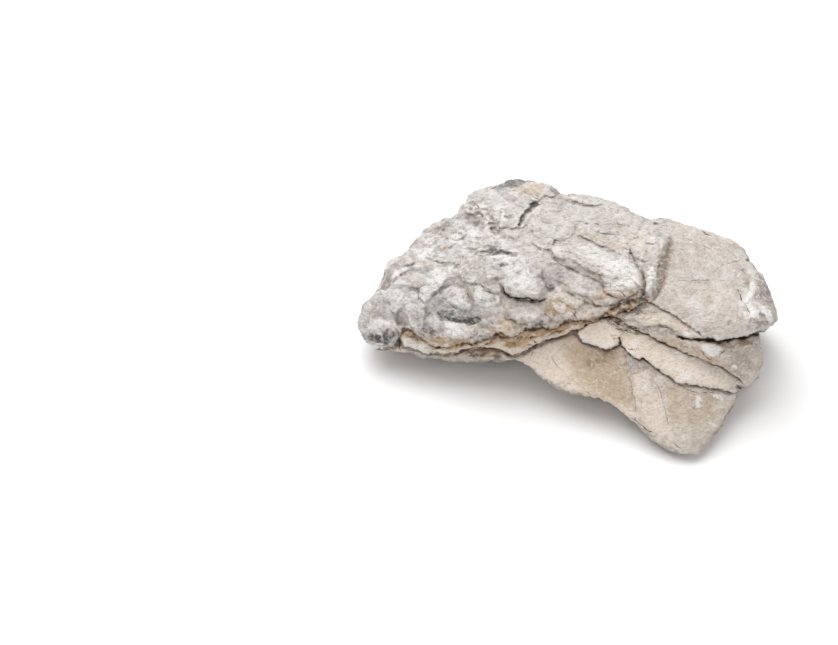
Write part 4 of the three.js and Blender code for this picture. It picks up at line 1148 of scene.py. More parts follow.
class Picture:
    """A fine grid over the picture plane, on which the stone's front is worked out."""

    STEP = 0.35
    LEFT, BOTTOM = -166.0, -114.0
    COLUMNS, ROWS = 930, 640

    def __init__(self):
        self.right, self.up = np.meshgrid(
            self.LEFT + self.STEP * np.arange(self.COLUMNS),
            self.BOTTOM + self.STEP * np.arange(self.ROWS),
        )
        self.ragged = self.fray(5)
        self.frayed = self.fray(7)

    def noise(self, size, seed, octaves=4):
        """Layered noise with swells of one size."""
        return layered_noise(self.right / size, self.up / size, seed, octaves)

    def fray(self, seed):
        """How far a ragged edge strays from its line, in swells and in chips."""
        return SWELL * self.noise(SWELL_SIZE, seed) + CHIP * self.noise(CHIP_SIZE, seed + 20, 3)

    def window(self, points, margin):
        """The part of the grid around some points."""
        low = (np.min(points, 0) - margin - (self.LEFT, self.BOTTOM)) / self.STEP
        high = (np.max(points, 0) + margin - (self.LEFT, self.BOTTOM)) / self.STEP
        columns = slice(max(int(low[0]), 0), max(int(high[0]) + 2, 0))
        rows = slice(max(int(low[1]), 0), max(int(high[1]) + 2, 0))
        return rows, columns

    def line(self, points, reach, closed=False):
        """Signed distance to a line, positive on its left, and the way to its nearer end."""
        points = np.array(points, float)
        ends = np.roll(points, -1, 0) if closed else points[1:]
        distance = np.full(self.right.shape, float(reach))
        side = np.zeros_like(distance)
        along = np.zeros_like(distance)
        passed = 0.0
        for start, end in zip(points, ends):
            part = self.window([start, end], reach)
            span = end - start
            length = math.hypot(*span)
            dx = self.right[part] - start[0]
            dy = self.up[part] - start[1]
            t = np.clip((dx * span[0] + dy * span[1]) / length**2, 0, 1)
            away = np.hypot(dx - t * span[0], dy - t * span[1])
            across = (span[0] * dy - span[1] * dx) / length
            best = distance[part]
            tie = (np.abs(away - best) < SAME_PLACE) & (np.abs(across) > np.abs(side[part]))
            nearer = (away < best - SAME_PLACE) | tie
            best[nearer] = away[nearer]
            side[part][nearer] = across[nearer]
            along[part][nearer] = (passed + t * length)[nearer]
            passed += length
        return np.where(side < 0, -distance, distance), np.minimum(along, passed - along)

    def inside(self, outline, reach):
        """Distance to a closed outline, positive inside it, no more than reach."""
        distance = np.abs(self.line(outline, reach, closed=True)[0])
        turns = np.zeros((self.ROWS, self.COLUMNS + 1), bool)
        heights = self.up[:, 0]
        for (ax, ay), (bx, by) in zip(outline, outline[1:] + outline[:1]):
            rows = np.nonzero((ay > heights) != (by > heights))[0]
            if len(rows):
                crossing = ax + (bx - ax) * (heights[rows] - ay) / (by - ay)
                column = np.ceil((crossing - self.LEFT) / self.STEP).astype(int)
                turns[rows, np.clip(column, 0, self.COLUMNS)] ^= True
        within = np.logical_xor.accumulate(turns, axis=1)[:, : self.COLUMNS]
        return np.where(within, distance, -distance)

    def region(self, outline, soft):
        """1 inside an outline and 0 outside it, over a soft ragged border."""
        inside = self.inside(outline, soft + REGION_MARGIN) + min(soft, REGION_RAGGED) * self.ragged
        return smoothstep(-soft, soft, inside)

    def look(self, values, right, up):
        """A grid's values at places in the picture plane."""
        x = np.clip((right - self.LEFT) / self.STEP, 0, self.COLUMNS - 1.001)
        y = np.clip((up - self.BOTTOM) / self.STEP, 0, self.ROWS - 1.001)
        column = x.astype(np.int32)
        row = y.astype(np.int32)
        fx = x - column
        fy = y - row
        flat = values.ravel()
        start = row * self.COLUMNS + column
        low = flat[start] * (1 - fx) + flat[start + 1] * fx
        start += self.COLUMNS
        high = flat[start] * (1 - fx) + flat[start + 1] * fx
        return low * (1 - fy) + high * fy

    def blur(self, values, radius):
        """A box blur, run twice, over a radius in millimetres."""
        size = max(int(radius / self.STEP), 1)
        for axis in (0, 1, 0, 1):
            before = np.repeat(values.take([0], axis), size + 1, axis)
            after = np.repeat(values.take([-1], axis), size, axis)
            total = np.cumsum(np.concatenate([before, values, after], axis), axis)
            count = values.shape[axis]
            upper = total.take(range(2 * size + 1, 2 * size + 1 + count), axis)
            lower = total.take(range(count), axis)
            values = (upper - lower) / (2 * size + 1)
        return values


def cover_relief(picture):
    """How far the covers stand out of the bed rock, and where each one lies."""
    height = np.zeros(picture.right.shape)
    shown = {}
    for name, lift, step, rounding, edge in COVERS:
        depth = picture.inside(edge, RIM_REACH) + picture.ragged
        within = smoothstep(-step, step, depth)
        rim = rounding * np.exp(-np.maximum(depth, 0) / (RIM_SPREAD * rounding + RIM_LEAST))
        height += within * (lift - rim - height)
        for other in shown:
            shown[other] = shown[other] * (1 - within)
        shown[name] = within
    for soft, _, outline in FIELDS["merged"]:
        merged = picture.region(outline, soft)
        for _ in range(MERGED_TIMES):
            height += merged * (picture.blur(height, MERGED_BLUR) - height)
    return height, shown


def fold_relief(picture):
    """The folds of the hide: each rises on the left of its line and dips on its right."""
    height = np.zeros(picture.right.shape)
    for lift, reach, soft, dip, line in FOLDS:
        away, from_end = picture.line(line, FOLD_GONE * reach)
        away = away + picture.ragged
        ends = smoothstep(0, FOLD_END, from_end)
        up = np.maximum(away, 0)
        rise = (1 - np.exp(-up / soft)) * np.exp(-((up / reach) ** 2))
        fall = np.exp(-((np.minimum(away, 0) / DIP_WIDTH) ** 2)) * (away < 0)
        height += ends * (lift * rise - dip * fall * smoothstep(0, DIP_FOOT, -away))
    return picture.blur(height, FOLD_BLUR)


def bevel_relief(picture):
    """Flat slopes that rise on the left of each line, as on a split edge, and then die away."""
    height = np.zeros(picture.right.shape)
    for lift, width, reach, line in BEVELS:
        away, from_end = picture.line(line, width + BEVEL_GONE * reach)
        away = away + BEVEL_RAGGED * picture.ragged
        end = np.exp(-((np.maximum(away - width, 0) / reach) ** 2))
        height += lift * smoothstep(0, BEVEL_END, from_end) * np.clip(away / width, 0, 1) * end
    return height


def lobe_relief(picture):
    """Lobes of the hide: rounded bodies that lean on each other, with a valley where two meet."""
    across = SWAY * picture.noise(SWAY_SIZE, 41)
    upward = SWAY * picture.noise(SWAY_SIZE, 51)
    height = np.zeros(picture.right.shape)
    hollow = np.zeros(picture.right.shape)
    for right, up, long, short, angle, lift in LOBES:
        part = picture.window([(right, up)], long + LOBE_MARGIN)
        dx = picture.right[part] + across[part] - right
        dy = picture.up[part] + upward[part] - up
        along, over = turned(dx, dy, angle)
        inside = np.maximum(1 - (along / long) ** 2 - (over / short) ** 2, 0)
        turn = math.radians(angle)
        half = math.hypot(long * math.sin(turn), short * math.cos(turn))
        body = np.minimum(LOBE_DOME * np.sqrt(inside), 1) * (1 - LOBE_LEAN * dy / half)
        kind = height if lift > 0 else hollow
        kind[part] = np.maximum(kind[part], LOBE_SHARE * abs(lift) * body)
    return height - hollow


def facet_relief(picture, height):
    """Lays the hide's flat facets over a relief, and tells where they get painted light and shade."""
    tint = np.zeros(picture.right.shape)
    for lift, lean_right, lean_up, shade, edge in FACETS:
        inside = picture.inside(edge, FACET_REACH) + FACET_RAGGED * picture.ragged
        right, up = np.mean(edge, 0)
        plane = lift + lean_right * (picture.right - right) + lean_up * (picture.up - up)
        height = height + smoothstep(-FACET_BELOW, FACET_ABOVE, inside) * (plane - height)
        tint += smoothstep(-FACET_SHADE, FACET_SHADE, inside) * (shade - tint)
    return height, tint


def crack_maps(picture, lines):
    """The nearest line of a group: how far to its side in line widths, how dark, how deep."""
    shape = picture.right.shape
    side = np.full(shape, float(SIDE_LIMIT))
    dark = np.zeros(shape)
    groove = np.zeros(shape)
    uneven = np.maximum(1 + CRACK_VARIES * picture.noise(CRACK_SIZE, 31, 3), CRACK_LEAST)
    # How dark the cracks are painted, partly earth and partly shade, varying along them
    earth_and_shade = EARTH_AND_SHADE_MEAN + CRACK_VARIES * picture.noise(EARTH_AND_SHADE_SIZE, 35, 3)
    earth_and_shade = np.clip(earth_and_shade, EARTH_AND_SHADE_LEAST, 1)
    for width, depth, strength, line in lines:
        away, from_end = picture.line(line, CRACK_REACH)
        away = away + picture.ragged
        ends = smoothstep(0, CRACK_END, from_end)
        half = 0.5 * width * uneven
        groove = np.maximum(groove, ends * depth * np.exp(-((away / half) ** 2)))
        nearer = np.abs(away / half) < np.abs(side)
        side[nearer] = (away / half)[nearer]
        near = ends * strength * (1 - smoothstep(*EARTH_AND_SHADE_ENDS, np.abs(away))) * earth_and_shade
        dark[nearer] = near[nearer]
    return np.clip(side, -SIDE_LIMIT, SIDE_LIMIT), dark, groove


def patch_map(picture, patches):
    """Ragged, streaky patches of one colour, strongest in their middles."""
    value = np.zeros(picture.right.shape)
    for right, up, long, short, angle, strength in patches:
        part = picture.window([(right, up)], PATCH_SPAN * long + PATCH_MARGIN)
        dx = picture.right[part] + picture.ragged[part] - right
        dy = picture.up[part] + picture.frayed[part] - up
        along, over = turned(dx, dy, angle)
        streaks = layered_noise(along / STREAK_LENGTH + right, over / STREAK_WIDTH + up, 45)
        away = np.hypot(along / long, over / short) + STREAKS * streaks
        patch = strength * (1 - smoothstep(*PATCH_ENDS, away))
        value[part] = np.maximum(value[part], patch)
    return value


def to_stone(right, up, out):
    """From the picture plane's frame to the stone's frame, z up from the floor."""
    sin, cos = math.sin(LOOK_DOWN), math.cos(LOOK_DOWN)
    return right, up * sin - out * cos, MIDDLE_HEIGHT + up * cos + out * sin


def from_stone(x, y, z):
    """The reverse of to_stone."""
    sin, cos = math.sin(LOOK_DOWN), math.cos(LOOK_DOWN)
    z = z - MIDDLE_HEIGHT
    return x, y * sin + z * cos, z * sin - y * cos


def seen(right, up, out):
    """Where the eye sees a place in front of or behind the picture plane."""
    k = EYE_DISTANCE / (EYE_DISTANCE - out)
    return EYE_AXIS[0] + (right - EYE_AXIS[0]) * k, EYE_AXIS[1] + (up - EYE_AXIS[1]) * k


class Shape:
    """The stone's surface: its front from the picture, its hidden sides from broken faces."""

    def __init__(self):
        picture = self.picture = Picture()
        covers, shown = cover_relief(picture)
        hide, seam = shown["hide"], shown["seam"]
        body = fold_relief(picture)
        body += lobe_relief(picture) * (hide + SEAM_LOBES * seam) + bevel_relief(picture)
        facets, tint = facet_relief(picture, body)
        skin, tint = self.skin(hide, seam, tint)
        relief = covers + body + hide * (facets - body) + skin
        # Relief above the mean around it, painted as highlight on crests and as shade in hollows
        crest = 0
        for share, radius in zip(CREST_SHARES, CREST_BLURS):
            crest = crest + share * (relief - picture.blur(relief, radius))
        hairs = [(width, HAIR_DEPTH, dark, line) for width, dark, line in HAIRS]
        split_side, split_dark, split_groove = crack_maps(picture, [c[1:] for c in CRACKS])
        hair_side, hair_dark, hair_groove = crack_maps(picture, hairs)
        maps = {
            "bed": thin_plate(BED)(picture.right, picture.up),
            "edge": picture.inside(OUTLINE, OUTLINE_REACH) + OUTLINE_RAGGED * picture.ragged,
            "relief": relief - split_groove - hair_groove,
            "hide": hide,
            "seam": seam,
            "lower": 1 - np.clip(shown["right slab"] + hide + seam, 0, 1),
            "warm": picture.region(FIELDS["warm lip"][0][2], WARM_BORDER),
            "crest": np.clip(crest, -CREST_LIMIT, CREST_LIMIT),
            "tint": tint,
            "split_side": split_side,
            "split_dark": split_dark,
            "hair_side": hair_side,
            "hair_dark": hair_dark,
        }
        for name, patches in PATCHES.items():
            maps[name] = patch_map(picture, patches)
            for soft, strength, outline in FIELDS.get(name, ()):
                field = strength * picture.region(outline, soft)
                maps[name] = np.maximum(maps[name], field)
        self.maps = {name: values.astype(np.float32) for name, values in maps.items()}

    def skin(self, hide, seam, tint):
        """Chips and wrinkles of the hide, layers of the seam, ripples of the slabs, and the tint
        of the facets with the shades of the chips."""
        picture = self.picture
        bend = GRAIN_BEND * picture.noise(GRAIN_BEND_SIZE, 60, 5)
        lean = GRAIN_BEND * picture.noise(GRAIN_BEND_SIZE, 65, 5)
        along, across = turned(picture.right, picture.up, SEAM_GRAIN)
        grain = {
            "hide": turned(picture.right + bend, picture.up + lean, HIDE_GRAIN),
            "seam": (along, across + SEAM_BEND * bend),
            "ends": (picture.right + END_BEND[0] * bend, picture.up + END_BEND[1] * lean),
            "plain": (picture.right, picture.up),
        }
        height, shade = {}, {}
        for name, (kind, length, width, seed) in CHIPS.items():
            along, across = grain[kind]
            height[name], shade[name] = shingles(along / length, across / width, seed)
        for name, (kind, length, width, seed) in SWELLS.items():
            along, across = grain[kind]
            height[name] = layered_noise(along / length, across / width, seed)
        rough = {name: picture.region(ROUGH[name], soft) for name, soft in BORDERS.items()}
        ends = rough["slab end"] * (1 - hide)
        layered = np.clip(seam + BODY_SHARE * rough["under body"] * (1 - hide), 0, 1)
        zone = {
            "hide": hide * (SMOOTH_SHARE + (1 - SMOOTH_SHARE) * rough["broken hide"]),
            "crumbly": hide * rough["crumbly"],
            "seam": layered,
            "pocket": seam * rough["pocket"],
            "ends": ends,
            "slab": 1 - np.clip(hide + layered + ends, 0, 1),
        }
        relief = sum(share * zone[place] * height[name] for place, name, share in SKIN)
        shades = sum(share * zone[place] * shade[name] for place, name, share in SHADES)
        return picture.blur(relief, SKIN_BLUR), hide * tint + shades

    def look(self, name, right, up):
        """One of the maps at places in the picture plane."""
        return self.picture.look(self.maps[name], right, up)

    def beyond(self, right, up, out):
        """Negative inside the bed rock, positive outside it."""
        sr, su = seen(right, up, out)
        behind = self.look("bed", sr, su) - out
        x, y, z = to_stone(right, up, out)
        rough = roughness(x, y, z) * smoothstep(LUMPS_START, LUMPS_FULL, behind)
        result = SIDE_TAPER * np.maximum(behind, 0) + rough - self.look("edge", sr, su)
        result = rounded_max(result, -behind, RIM_BLEND)
        for at, outward in BREAKS:
            outward = Vector(outward).normalized()
            past = (x - at[0]) * outward[0] + (y - at[1]) * outward[1] + (z - at[2]) * outward[2]
            result = rounded_max(result, past + rough, BREAK_BLEND)
        return np.maximum(result, -z)

    def raised(self, right, up, out):
        """Moves places on the bed rock out with the covers above them, along the sight line."""
        sr, su = seen(right, up, out)
        behind = self.look("bed", sr, su) - out
        share = np.clip(1 - behind / LIFT_DEPTH, 0, 1)
        out = out + share * self.look("relief", sr, su)
        k = (EYE_DISTANCE - out) / EYE_DISTANCE
        return EYE_AXIS[0] + (sr - EYE_AXIS[0]) * k, EYE_AXIS[1] + (su - EYE_AXIS[1]) * k, out

    def places(self, directions):
        """The stone's surface along each direction from its core, in its own frame."""
        near = np.zeros(len(directions), np.float32)
        far = np.full(len(directions), FARTHEST, np.float32)
        reach = [np.float32(BALL[i]) * directions[:, i] for i in range(3)]

        def along(t):
            return [np.float32(CORE[i]) + t * reach[i] for i in range(3)]

        for _ in range(SEARCH_STEPS):
            middle = (near + far) / 2
            past = self.beyond(*along(middle)) > 0
            far = np.where(past, middle, far)
            near = np.where(past, near, middle)
        x, y, z = to_stone(*self.raised(*along((near + far) / 2)))
        z = np.where(z < FLOOR_TOLERANCE, 0, z)
        return np.stack([x - CENTRE[0], y - CENTRE[1], z], 1)

    def values(self, places, name):
        """One of the maps at places on the surface, ending raggedly behind the seen front."""
        x, y, z = places.T
        right, up, out = from_stone(x + CENTRE[0], y + CENTRE[1], z)
        sr, su = seen(right, up, out)
        values = self.look(name, sr, su)
        if name.endswith("side"):
            return values
        behind = self.look("bed", sr, su) + self.look("relief", sr, su) - out
        uneven = 1 + FADE_VARIES * lumps(x, y, z, FADE_LUMPS)
        return values * (1 - smoothstep(FADE_START, FADE_END, uneven * behind))


def add(tree, kind, settings=None, inputs=None):
    """Adds a node with its settings, and its inputs as values or as the outputs linked to them."""
    node = tree.nodes.new(kind)
    for name, value in (settings or {}).items():
        setattr(node, name, value)
    for name, value in (inputs or {}).items():
        if isinstance(value, bpy.types.NodeSocket):
            tree.links.new(value, node.inputs[name])
        else:
            node.inputs[name].default_value = value
    return node


def length_setting(name, about, value, least, most):
    """A setting that is a length in metres."""
    return bpy.props.FloatProperty(
        name=name, description=about, default=value, min=least, max=most,
        unit="LENGTH", subtype="DISTANCE",
    )


def colour_setting(name, about, code):
    """A setting that is a colour, given by its sRGB hex code."""
    return bpy.props.FloatVectorProperty(
        name=name, description=about, default=linear(code), size=4, min=0, max=1, subtype="COLOR",
    )


class StoneSettings(bpy.types.PropertyGroup):
    """Sizes and colours of the boulder."""

    subdivisions: bpy.props.IntProperty(
        name="Subdivisions",
        description="How often the ball is divided before it is shaped into the stone",
        default=9, min=5, max=9,
    )
    triangles: bpy.props.IntProperty(
        name="Triangles",
        description="Most triangles that the finished stone keeps",
        default=196000, min=10000, max=199000,
    )
    front_share: bpy.props.FloatProperty(
        name="Front share",
        description="How much more finely the seen front is divided than the hidden back",
        default=0.4, min=0, max=0.8, subtype="FACTOR",
    )
    wrinkle_height: length_setting(
        "Wrinkle height", "Relief of the small wrinkles of the hide", 0.0012, 0, 0.005
    )
    wrinkle_width: length_setting(
        "Wrinkle width", "Spacing of the small wrinkles of the hide", 0.007, 0.002, 0.05
    )
    grain_height: length_setting(
        "Grain height", "Relief of the coarse grain all over the stone", 0.0008, 0, 0.003
    )
    grain_width: length_setting(
        "Grain width", "Spacing of the coarse grain", 0.0035, 0.001, 0.02
    )
    seed: bpy.props.IntProperty(
        name="Seed", description="Which fall of wrinkles and grain is drawn", default=4, min=0,
    )
    slab_colour: colour_setting("Slab colour", "Split faces of the slabs", "#d3c9c0")
    hide_colour: colour_setting("Hide colour", "Weathered folds of the hide", "#d7d1cd")
    # The crack colour paints both the earth in the joints and the shade in their gaps
    crack_colour: colour_setting("Crack colour", "Earth in the open cracks", "#554033")


class StageSettings(bpy.types.PropertyGroup):
    """Floor and light around the boulder."""

    floor_size: length_setting("Floor size", "Side of the pale floor", 8, 1, 100)
    floor_colour: colour_setting("Floor colour", "Colour of the pale floor", "#fafafa")
    sky: bpy.props.FloatProperty(
        name="Surround", description="Strength of the even light from all around",
        default=0.56, min=0,
    )
    key: bpy.props.FloatProperty(
        name="Soft box", description="Power of the large soft box behind and above the stone",
        default=21, min=0, unit="POWER",
    )


# Wrinkles and grain pressed into the mesh: the noise of both, and the net of scales on the hide,
# with its cells for each wrinkle width, the waves and the metres by which it is bent, and how a
# scale falls to its valley
RELIEF_NOISE = {"Detail": 4, "Roughness": 0.6, "Distortion": 0.4}
NET_CELLS = 0.7
NET_WAVES = 90.0
NET_BEND = (0.004, 0.004, 0.004)
VALLEY = {"From Min": 0.0, "From Max": 0.22, "To Min": -0.5, "To Max": 0.1}
# Middle of the noise, and the heights in metres above the floor between which the relief sets in
NOISE_MIDDLE = 0.5
OFF_FLOOR = {"From Min": 0.0005, "From Max": 0.004}


def fine_relief(material, settings):
    """Geometry nodes that press wrinkles and grain into a surface along its normals."""
    tree = bpy.data.node_groups.new("Wrinkles and grain", "GeometryNodeTree")
    tree.is_modifier = True
    sockets = {}
    for name, kind, value in (
        ("Geometry", "NodeSocketGeometry", None),
        ("Wrinkle height", "NodeSocketFloat", settings.wrinkle_height),
        ("Wrinkle width", "NodeSocketFloat", settings.wrinkle_width),
        ("Grain height", "NodeSocketFloat", settings.grain_height),
        ("Grain width", "NodeSocketFloat", settings.grain_width),
        ("Seed", "NodeSocketFloat", settings.seed),
        ("Material", "NodeSocketMaterial", material),
    ):
        item = tree.interface.new_socket(name, in_out="INPUT", socket_type=kind)
        sockets[name] = (item.identifier, value)
    tree.interface.new_socket("Geometry", in_out="OUTPUT", socket_type="NodeSocketGeometry")
    given = add(tree, "NodeGroupInput").outputs
    place = add(tree, "GeometryNodeInputPosition").outputs[0]
    normal = add(tree, "GeometryNodeInputNormal").outputs[0]
    hide = add(tree, "GeometryNodeInputNamedAttribute", {"data_type": "FLOAT"}, {"Name": "hide"})
    height = add(tree, "ShaderNodeSeparateXYZ", {}, {0: place}).outputs[2]
    off_floor = add(
        tree, "ShaderNodeMapRange", {"interpolation_type": "SMOOTHSTEP"},
        {"Value": height, **OFF_FLOOR},
    )
    fine = {}
    for name in ("Wrinkle", "Grain"):
        turns = add(
            tree, "ShaderNodeMath", {"operation": "DIVIDE"}, {0: 1.0, 1: given[name + " width"]}
        )
        fine[name] = add(
            tree, "ShaderNodeTexNoise", {"noise_dimensions": "4D"},
            {"Vector": place, "W": given["Seed"], "Scale": turns.outputs[0], **RELIEF_NOISE},
        )
    waves = add(tree, "ShaderNodeTexNoise", {}, {"Vector": place, "Scale": NET_WAVES})
    bent = add(
        tree, "ShaderNodeVectorMath", {"operation": "MULTIPLY_ADD"},
        {0: waves.outputs[1], 1: NET_BEND, 2: place},
    )
    turns = add(
        tree, "ShaderNodeMath", {"operation": "DIVIDE"}, {0: NET_CELLS, 1: given["Wrinkle width"]}
    )
    scales = add(
        tree, "ShaderNodeTexVoronoi", {"feature": "DISTANCE_TO_EDGE"},
        {"Vector": bent.outputs[0], "Scale": turns.outputs[0]},
    )
    valley = add(
        tree, "ShaderNodeMapRange", {"interpolation_type": "SMOOTHSTEP"},
        {"Value": scales.outputs[0], **VALLEY},
    )
    terms = {
        "valley": valley.outputs[0],
        "wrinkle": fine["Wrinkle"].outputs[0],
        "wrinkle height": given["Wrinkle height"],
        "hide": hide.outputs[0],
        "grain": fine["Grain"].outputs[0],
        "grain height": given["Grain height"],
        "off floor": off_floor.outputs[0],
    }
    for name, operation, *parts in (
        ("folded", "ADD", "valley", "wrinkle"),
        ("centred", "SUBTRACT", "folded", NOISE_MIDDLE),
        ("tall", "MULTIPLY", "centred", "wrinkle height"),
        ("wrinkles", "MULTIPLY", "tall", "hide"),
        ("centred grain", "SUBTRACT", "grain", NOISE_MIDDLE),
        ("relief", "MULTIPLY_ADD", "centred grain", "grain height", "wrinkles"),
        ("kept", "MULTIPLY", "relief", "off floor"),
    ):
        inputs = {i: terms.get(part, part) for i, part in enumerate(parts)}
        terms[name] = add(tree, "ShaderNodeMath", {"operation": operation}, inputs).outputs[0]
    offset = add(
        tree, "ShaderNodeVectorMath", {"operation": "SCALE"}, {0: normal, "Scale": terms["kept"]}
    )
    moved = add(
        tree, "GeometryNodeSetPosition", {},
        {"Geometry": given["Geometry"], "Offset": offset.outputs[0]},
    )
    whole = add(tree, "GeometryNodeRealizeInstances", {}, {"Geometry": moved.outputs[0]})
    dressed = add(
        tree, "GeometryNodeSetMaterial", {},
        {"Geometry": whole.outputs[0], "Material": given["Material"]},
    )
    add(tree, "NodeGroupOutput", {}, {0: dressed.outputs[0]})
    return tree, sockets


# Patterns of the stone's colour and grain: name, size in millimetres, detail, roughness, and how
# many turns it makes along the bedding for one across it
PATTERNS = (
    ("clouds", 34, 4, 0.55, 1.0),
    ("mottle", 9, 5, 0.65, 1.0),
    ("fleck", 3.0, 4, 0.7, 0.75),
    ("grit", 1.4, 3, 0.75, 0.65),
)

# Coats of colour, from the ground up: colour, strength, and where each shows, as patterns and maps
# with the values at which it starts and is full
COATS = (
    ("#d8cabc", 1.0, (("lower", 0, 1),)),
    ("#e2d5c7", 0.6, (("warm", 0, 1),)),
    ("#b9aea4", 0.4, (("clouds", 0.36, 0.66),)),
    ("#b8a58e", 0.35, (("clouds", 0.48, 0.34), ("mottle", 0.6, 0.4))),
    ("#eae4de", 0.35, (("mottle", 0.51, 0.6),)),
    ("#a1968d", 0.3, (("mottle", 0.47, 0.38),)),
    # Painted light and painted shade of the facets, with the random tone of the chips
    ("#f5f3f0", 0.65, (("tint", 0.15, 0.7),)),
    ("#9f9698", 0.4, (("tint", -0.2, -0.7),)),
    ("#c6a780", 0.8, (("seam", 0, 1),)),
    ("#86643f", 0.55, (("seam", 0, 1), ("fleck", 0.48, 0.38))),
    ("#f3e3d3", 0.95, (("cream", 0, 1),)),
    # Tan: warm stains, and painted shade on the hide's step face and the slopes into its folds
    ("#c4ab8c", 0.9, (("tan", 0, 1),)),
    ("#c9a67c", 0.5, (("warm", 0, 1), ("mottle", 0.52, 0.62))),
    ("#bb9668", 0.8, (("ochre", 0.1, 0.7), ("mottle", 0.38, 0.55))),
    # Mauve-grey: the stone's own grey, and painted shade on faces turned from the light
    ("#a0958f", 0.85, (("mauve", 0.1, 0.8), ("fleck", 0.7, 0.4))),
    # Brown: stains, and painted shade under the edges of the slabs, the oval and the plates
    ("#86694a", 0.85, (("brown", 0.1, 0.9), ("mottle", 0.68, 0.38))),
    # Dark: streaks and spots, and painted shade in the cavity, the tip's hollows and the step mouth
    ("#8b8480", 0.9, (("dark", 0.05, 0.5),)),
    ("#4e4744", 0.95, (("dark", 0.35, 0.8), ("fleck", 0.68, 0.42))),
    # White: pale patches, and painted light on dim parts of the hide and on the tip's crest
    ("#f5f2ee", 0.9, (("white", 0.1, 0.7), ("mottle", 0.3, 0.45))),
    # Painted highlight on the crests, then painted shade in the hollows, browner on the lower slabs, on
    # the warm lip, where it also stands for rust in the crevices, and on the seam
    ("#f6f3ef", 0.45, (("crest", 0.15, 1.2),)),
    ("#85796f", 0.48, (("crest", -0.25, -1.5),)),
    ("#6a5038", 0.6, (("crest", -0.2, -1.3), ("lower", 0, 1))),
    ("#6b4a2c", 0.5, (("crest", -0.2, -1.3), ("warm", 0, 1))),
    ("#4a301c", 0.65, (("crest", -0.2, -1.2), ("seam", 0, 1))),
    ("#f6f3ef", 0.3, (("fleck", 0.53, 0.63),)),
    ("#85796f", 0.26, (("fleck", 0.47, 0.37), ("clouds", 0.3, 0.6))),
    ("#7c7270", 0.3, (("fleck", 0.46, 0.37), ("hide", 0, 1))),
    ("#7c7067", 0.28, (("grit", 0.47, 0.34),)),
    ("#f8f5f1", 0.3, (("grit", 0.5, 0.68), ("clouds", 0.7, 0.4))),
)

# Each crack is painted dark, partly as earth and partly as the shade of its gap: where that starts
# and is full, in half widths of the crack
CRACK_FILL = (1.25, 0.55)
# Bump: the share of each pattern that is added to the mottle, its height in metres, and how much of
# it the slabs and the hide show
BUMP = (("fleck", 1.25), ("grit", 1.0))
BUMP_HEIGHT = 0.0015
BUMP_SHARE = {"To Min": 0.8, "To Max": 1.0}
# Dull and chalky: a rough surface with the refraction of calcite and little gloss
LIMESTONE = {"Roughness": 0.9, "IOR": 1.55, "Specular IOR Level": 0.35}


def limestone(settings):
    """Grey limestone, split along its layers and worn by rain and frost.

    The eye sees a dull, chalky face without gloss, clouded in warm greys, with painted highlight on
    its crests and painted shade in its hollows and under its edges, and stained by iron in its
    joints, which are dark partly from soil and partly as painted shade.
    """
    material = bpy.data.materials.new("Limestone, split and weathered")
    material.use_nodes = True
    tree = material.node_tree
    tree.nodes.clear()
    place = add(tree, "ShaderNodeTexCoord").outputs["Object"]
    fields = {}
    for name, size, detail, rough, share in PATTERNS:
        drawn = add(
            tree, "ShaderNodeVectorMath", {"operation": "MULTIPLY"}, {0: place, 1: (share, 1, 1)}
        )
        turns = 1 / (size * MM)
        noise = add(
            tree, "ShaderNodeTexNoise", {},
            {"Vector": drawn.outputs[0], "Scale": turns, "Detail": detail, "Roughness": rough},
        )
        fields[name] = noise.outputs[0]
    for name in MAPS:
        fields[name] = add(tree, "ShaderNodeAttribute", {"attribute_name": name}).outputs["Fac"]
    coats = list(COATS)
    # Last, the cracks are painted dark, partly as their earth and partly as the shade in their gaps
    for name in ("hair", "split"):
        side = add(tree, "ShaderNodeMath", {"operation": "ABSOLUTE"}, {0: fields[name + "_side"]})
        fields[name + "_away"] = side.outputs[0]
        coats.append((None, 1.0, ((name + "_away", *CRACK_FILL), (name + "_dark", 0, 1))))
    ground = add(
        tree, "ShaderNodeMix", {"data_type": "RGBA"},
        {0: fields["hide"], 6: tuple(settings.slab_colour), 7: tuple(settings.hide_colour)},
    )
    colour = ground.outputs[2]
    for code, strength, masks in coats:
        cover = strength
        for name, low, high in masks:
            shown = add(
                tree, "ShaderNodeMapRange", {"interpolation_type": "SMOOTHSTEP"},
                {"Value": fields[name], "From Min": low, "From Max": high},
            )
            both = add(
                tree, "ShaderNodeMath", {"operation": "MULTIPLY"}, {0: shown.outputs[0], 1: cover}
            )
            cover = both.outputs[0]
        coat = linear(code) if code else tuple(settings.crack_colour)
        mixed = add(
            tree, "ShaderNodeMix", {"data_type": "RGBA"}, {0: cover, 6: colour, 7: coat}
        )
        colour = mixed.outputs[2]
    height = fields["mottle"]
    for name, share in BUMP:
        higher = add(
            tree, "ShaderNodeMath", {"operation": "MULTIPLY_ADD"},
            {0: fields[name], 1: share, 2: height},
        )
        height = higher.outputs[0]
    worn = add(tree, "ShaderNodeMapRange", {}, {"Value": fields["hide"], **BUMP_SHARE})
    bump = add(
        tree, "ShaderNodeBump", {},
        {"Strength": worn.outputs[0], "Distance": BUMP_HEIGHT, "Height": height},
    )
    surface = add(
        tree, "ShaderNodeBsdfPrincipled", {},
        {"Base Color": colour, "Normal": bump.outputs[0], **LIMESTONE},
    )
    add(tree, "ShaderNodeOutputMaterial", {}, {0: surface.outputs[0]})
    return material


# The stage: how dull the paper is, the side and the place of the soft box, and how near the camera
# starts to see, in metres
PAPER_ROUGHNESS = 0.9
PAPER_GLOSS = 0.1
BOX_SIZE = 1.5
BOX_PLACE = (-0.3, 0.34, 1.3)
CLIP_START = 0.05


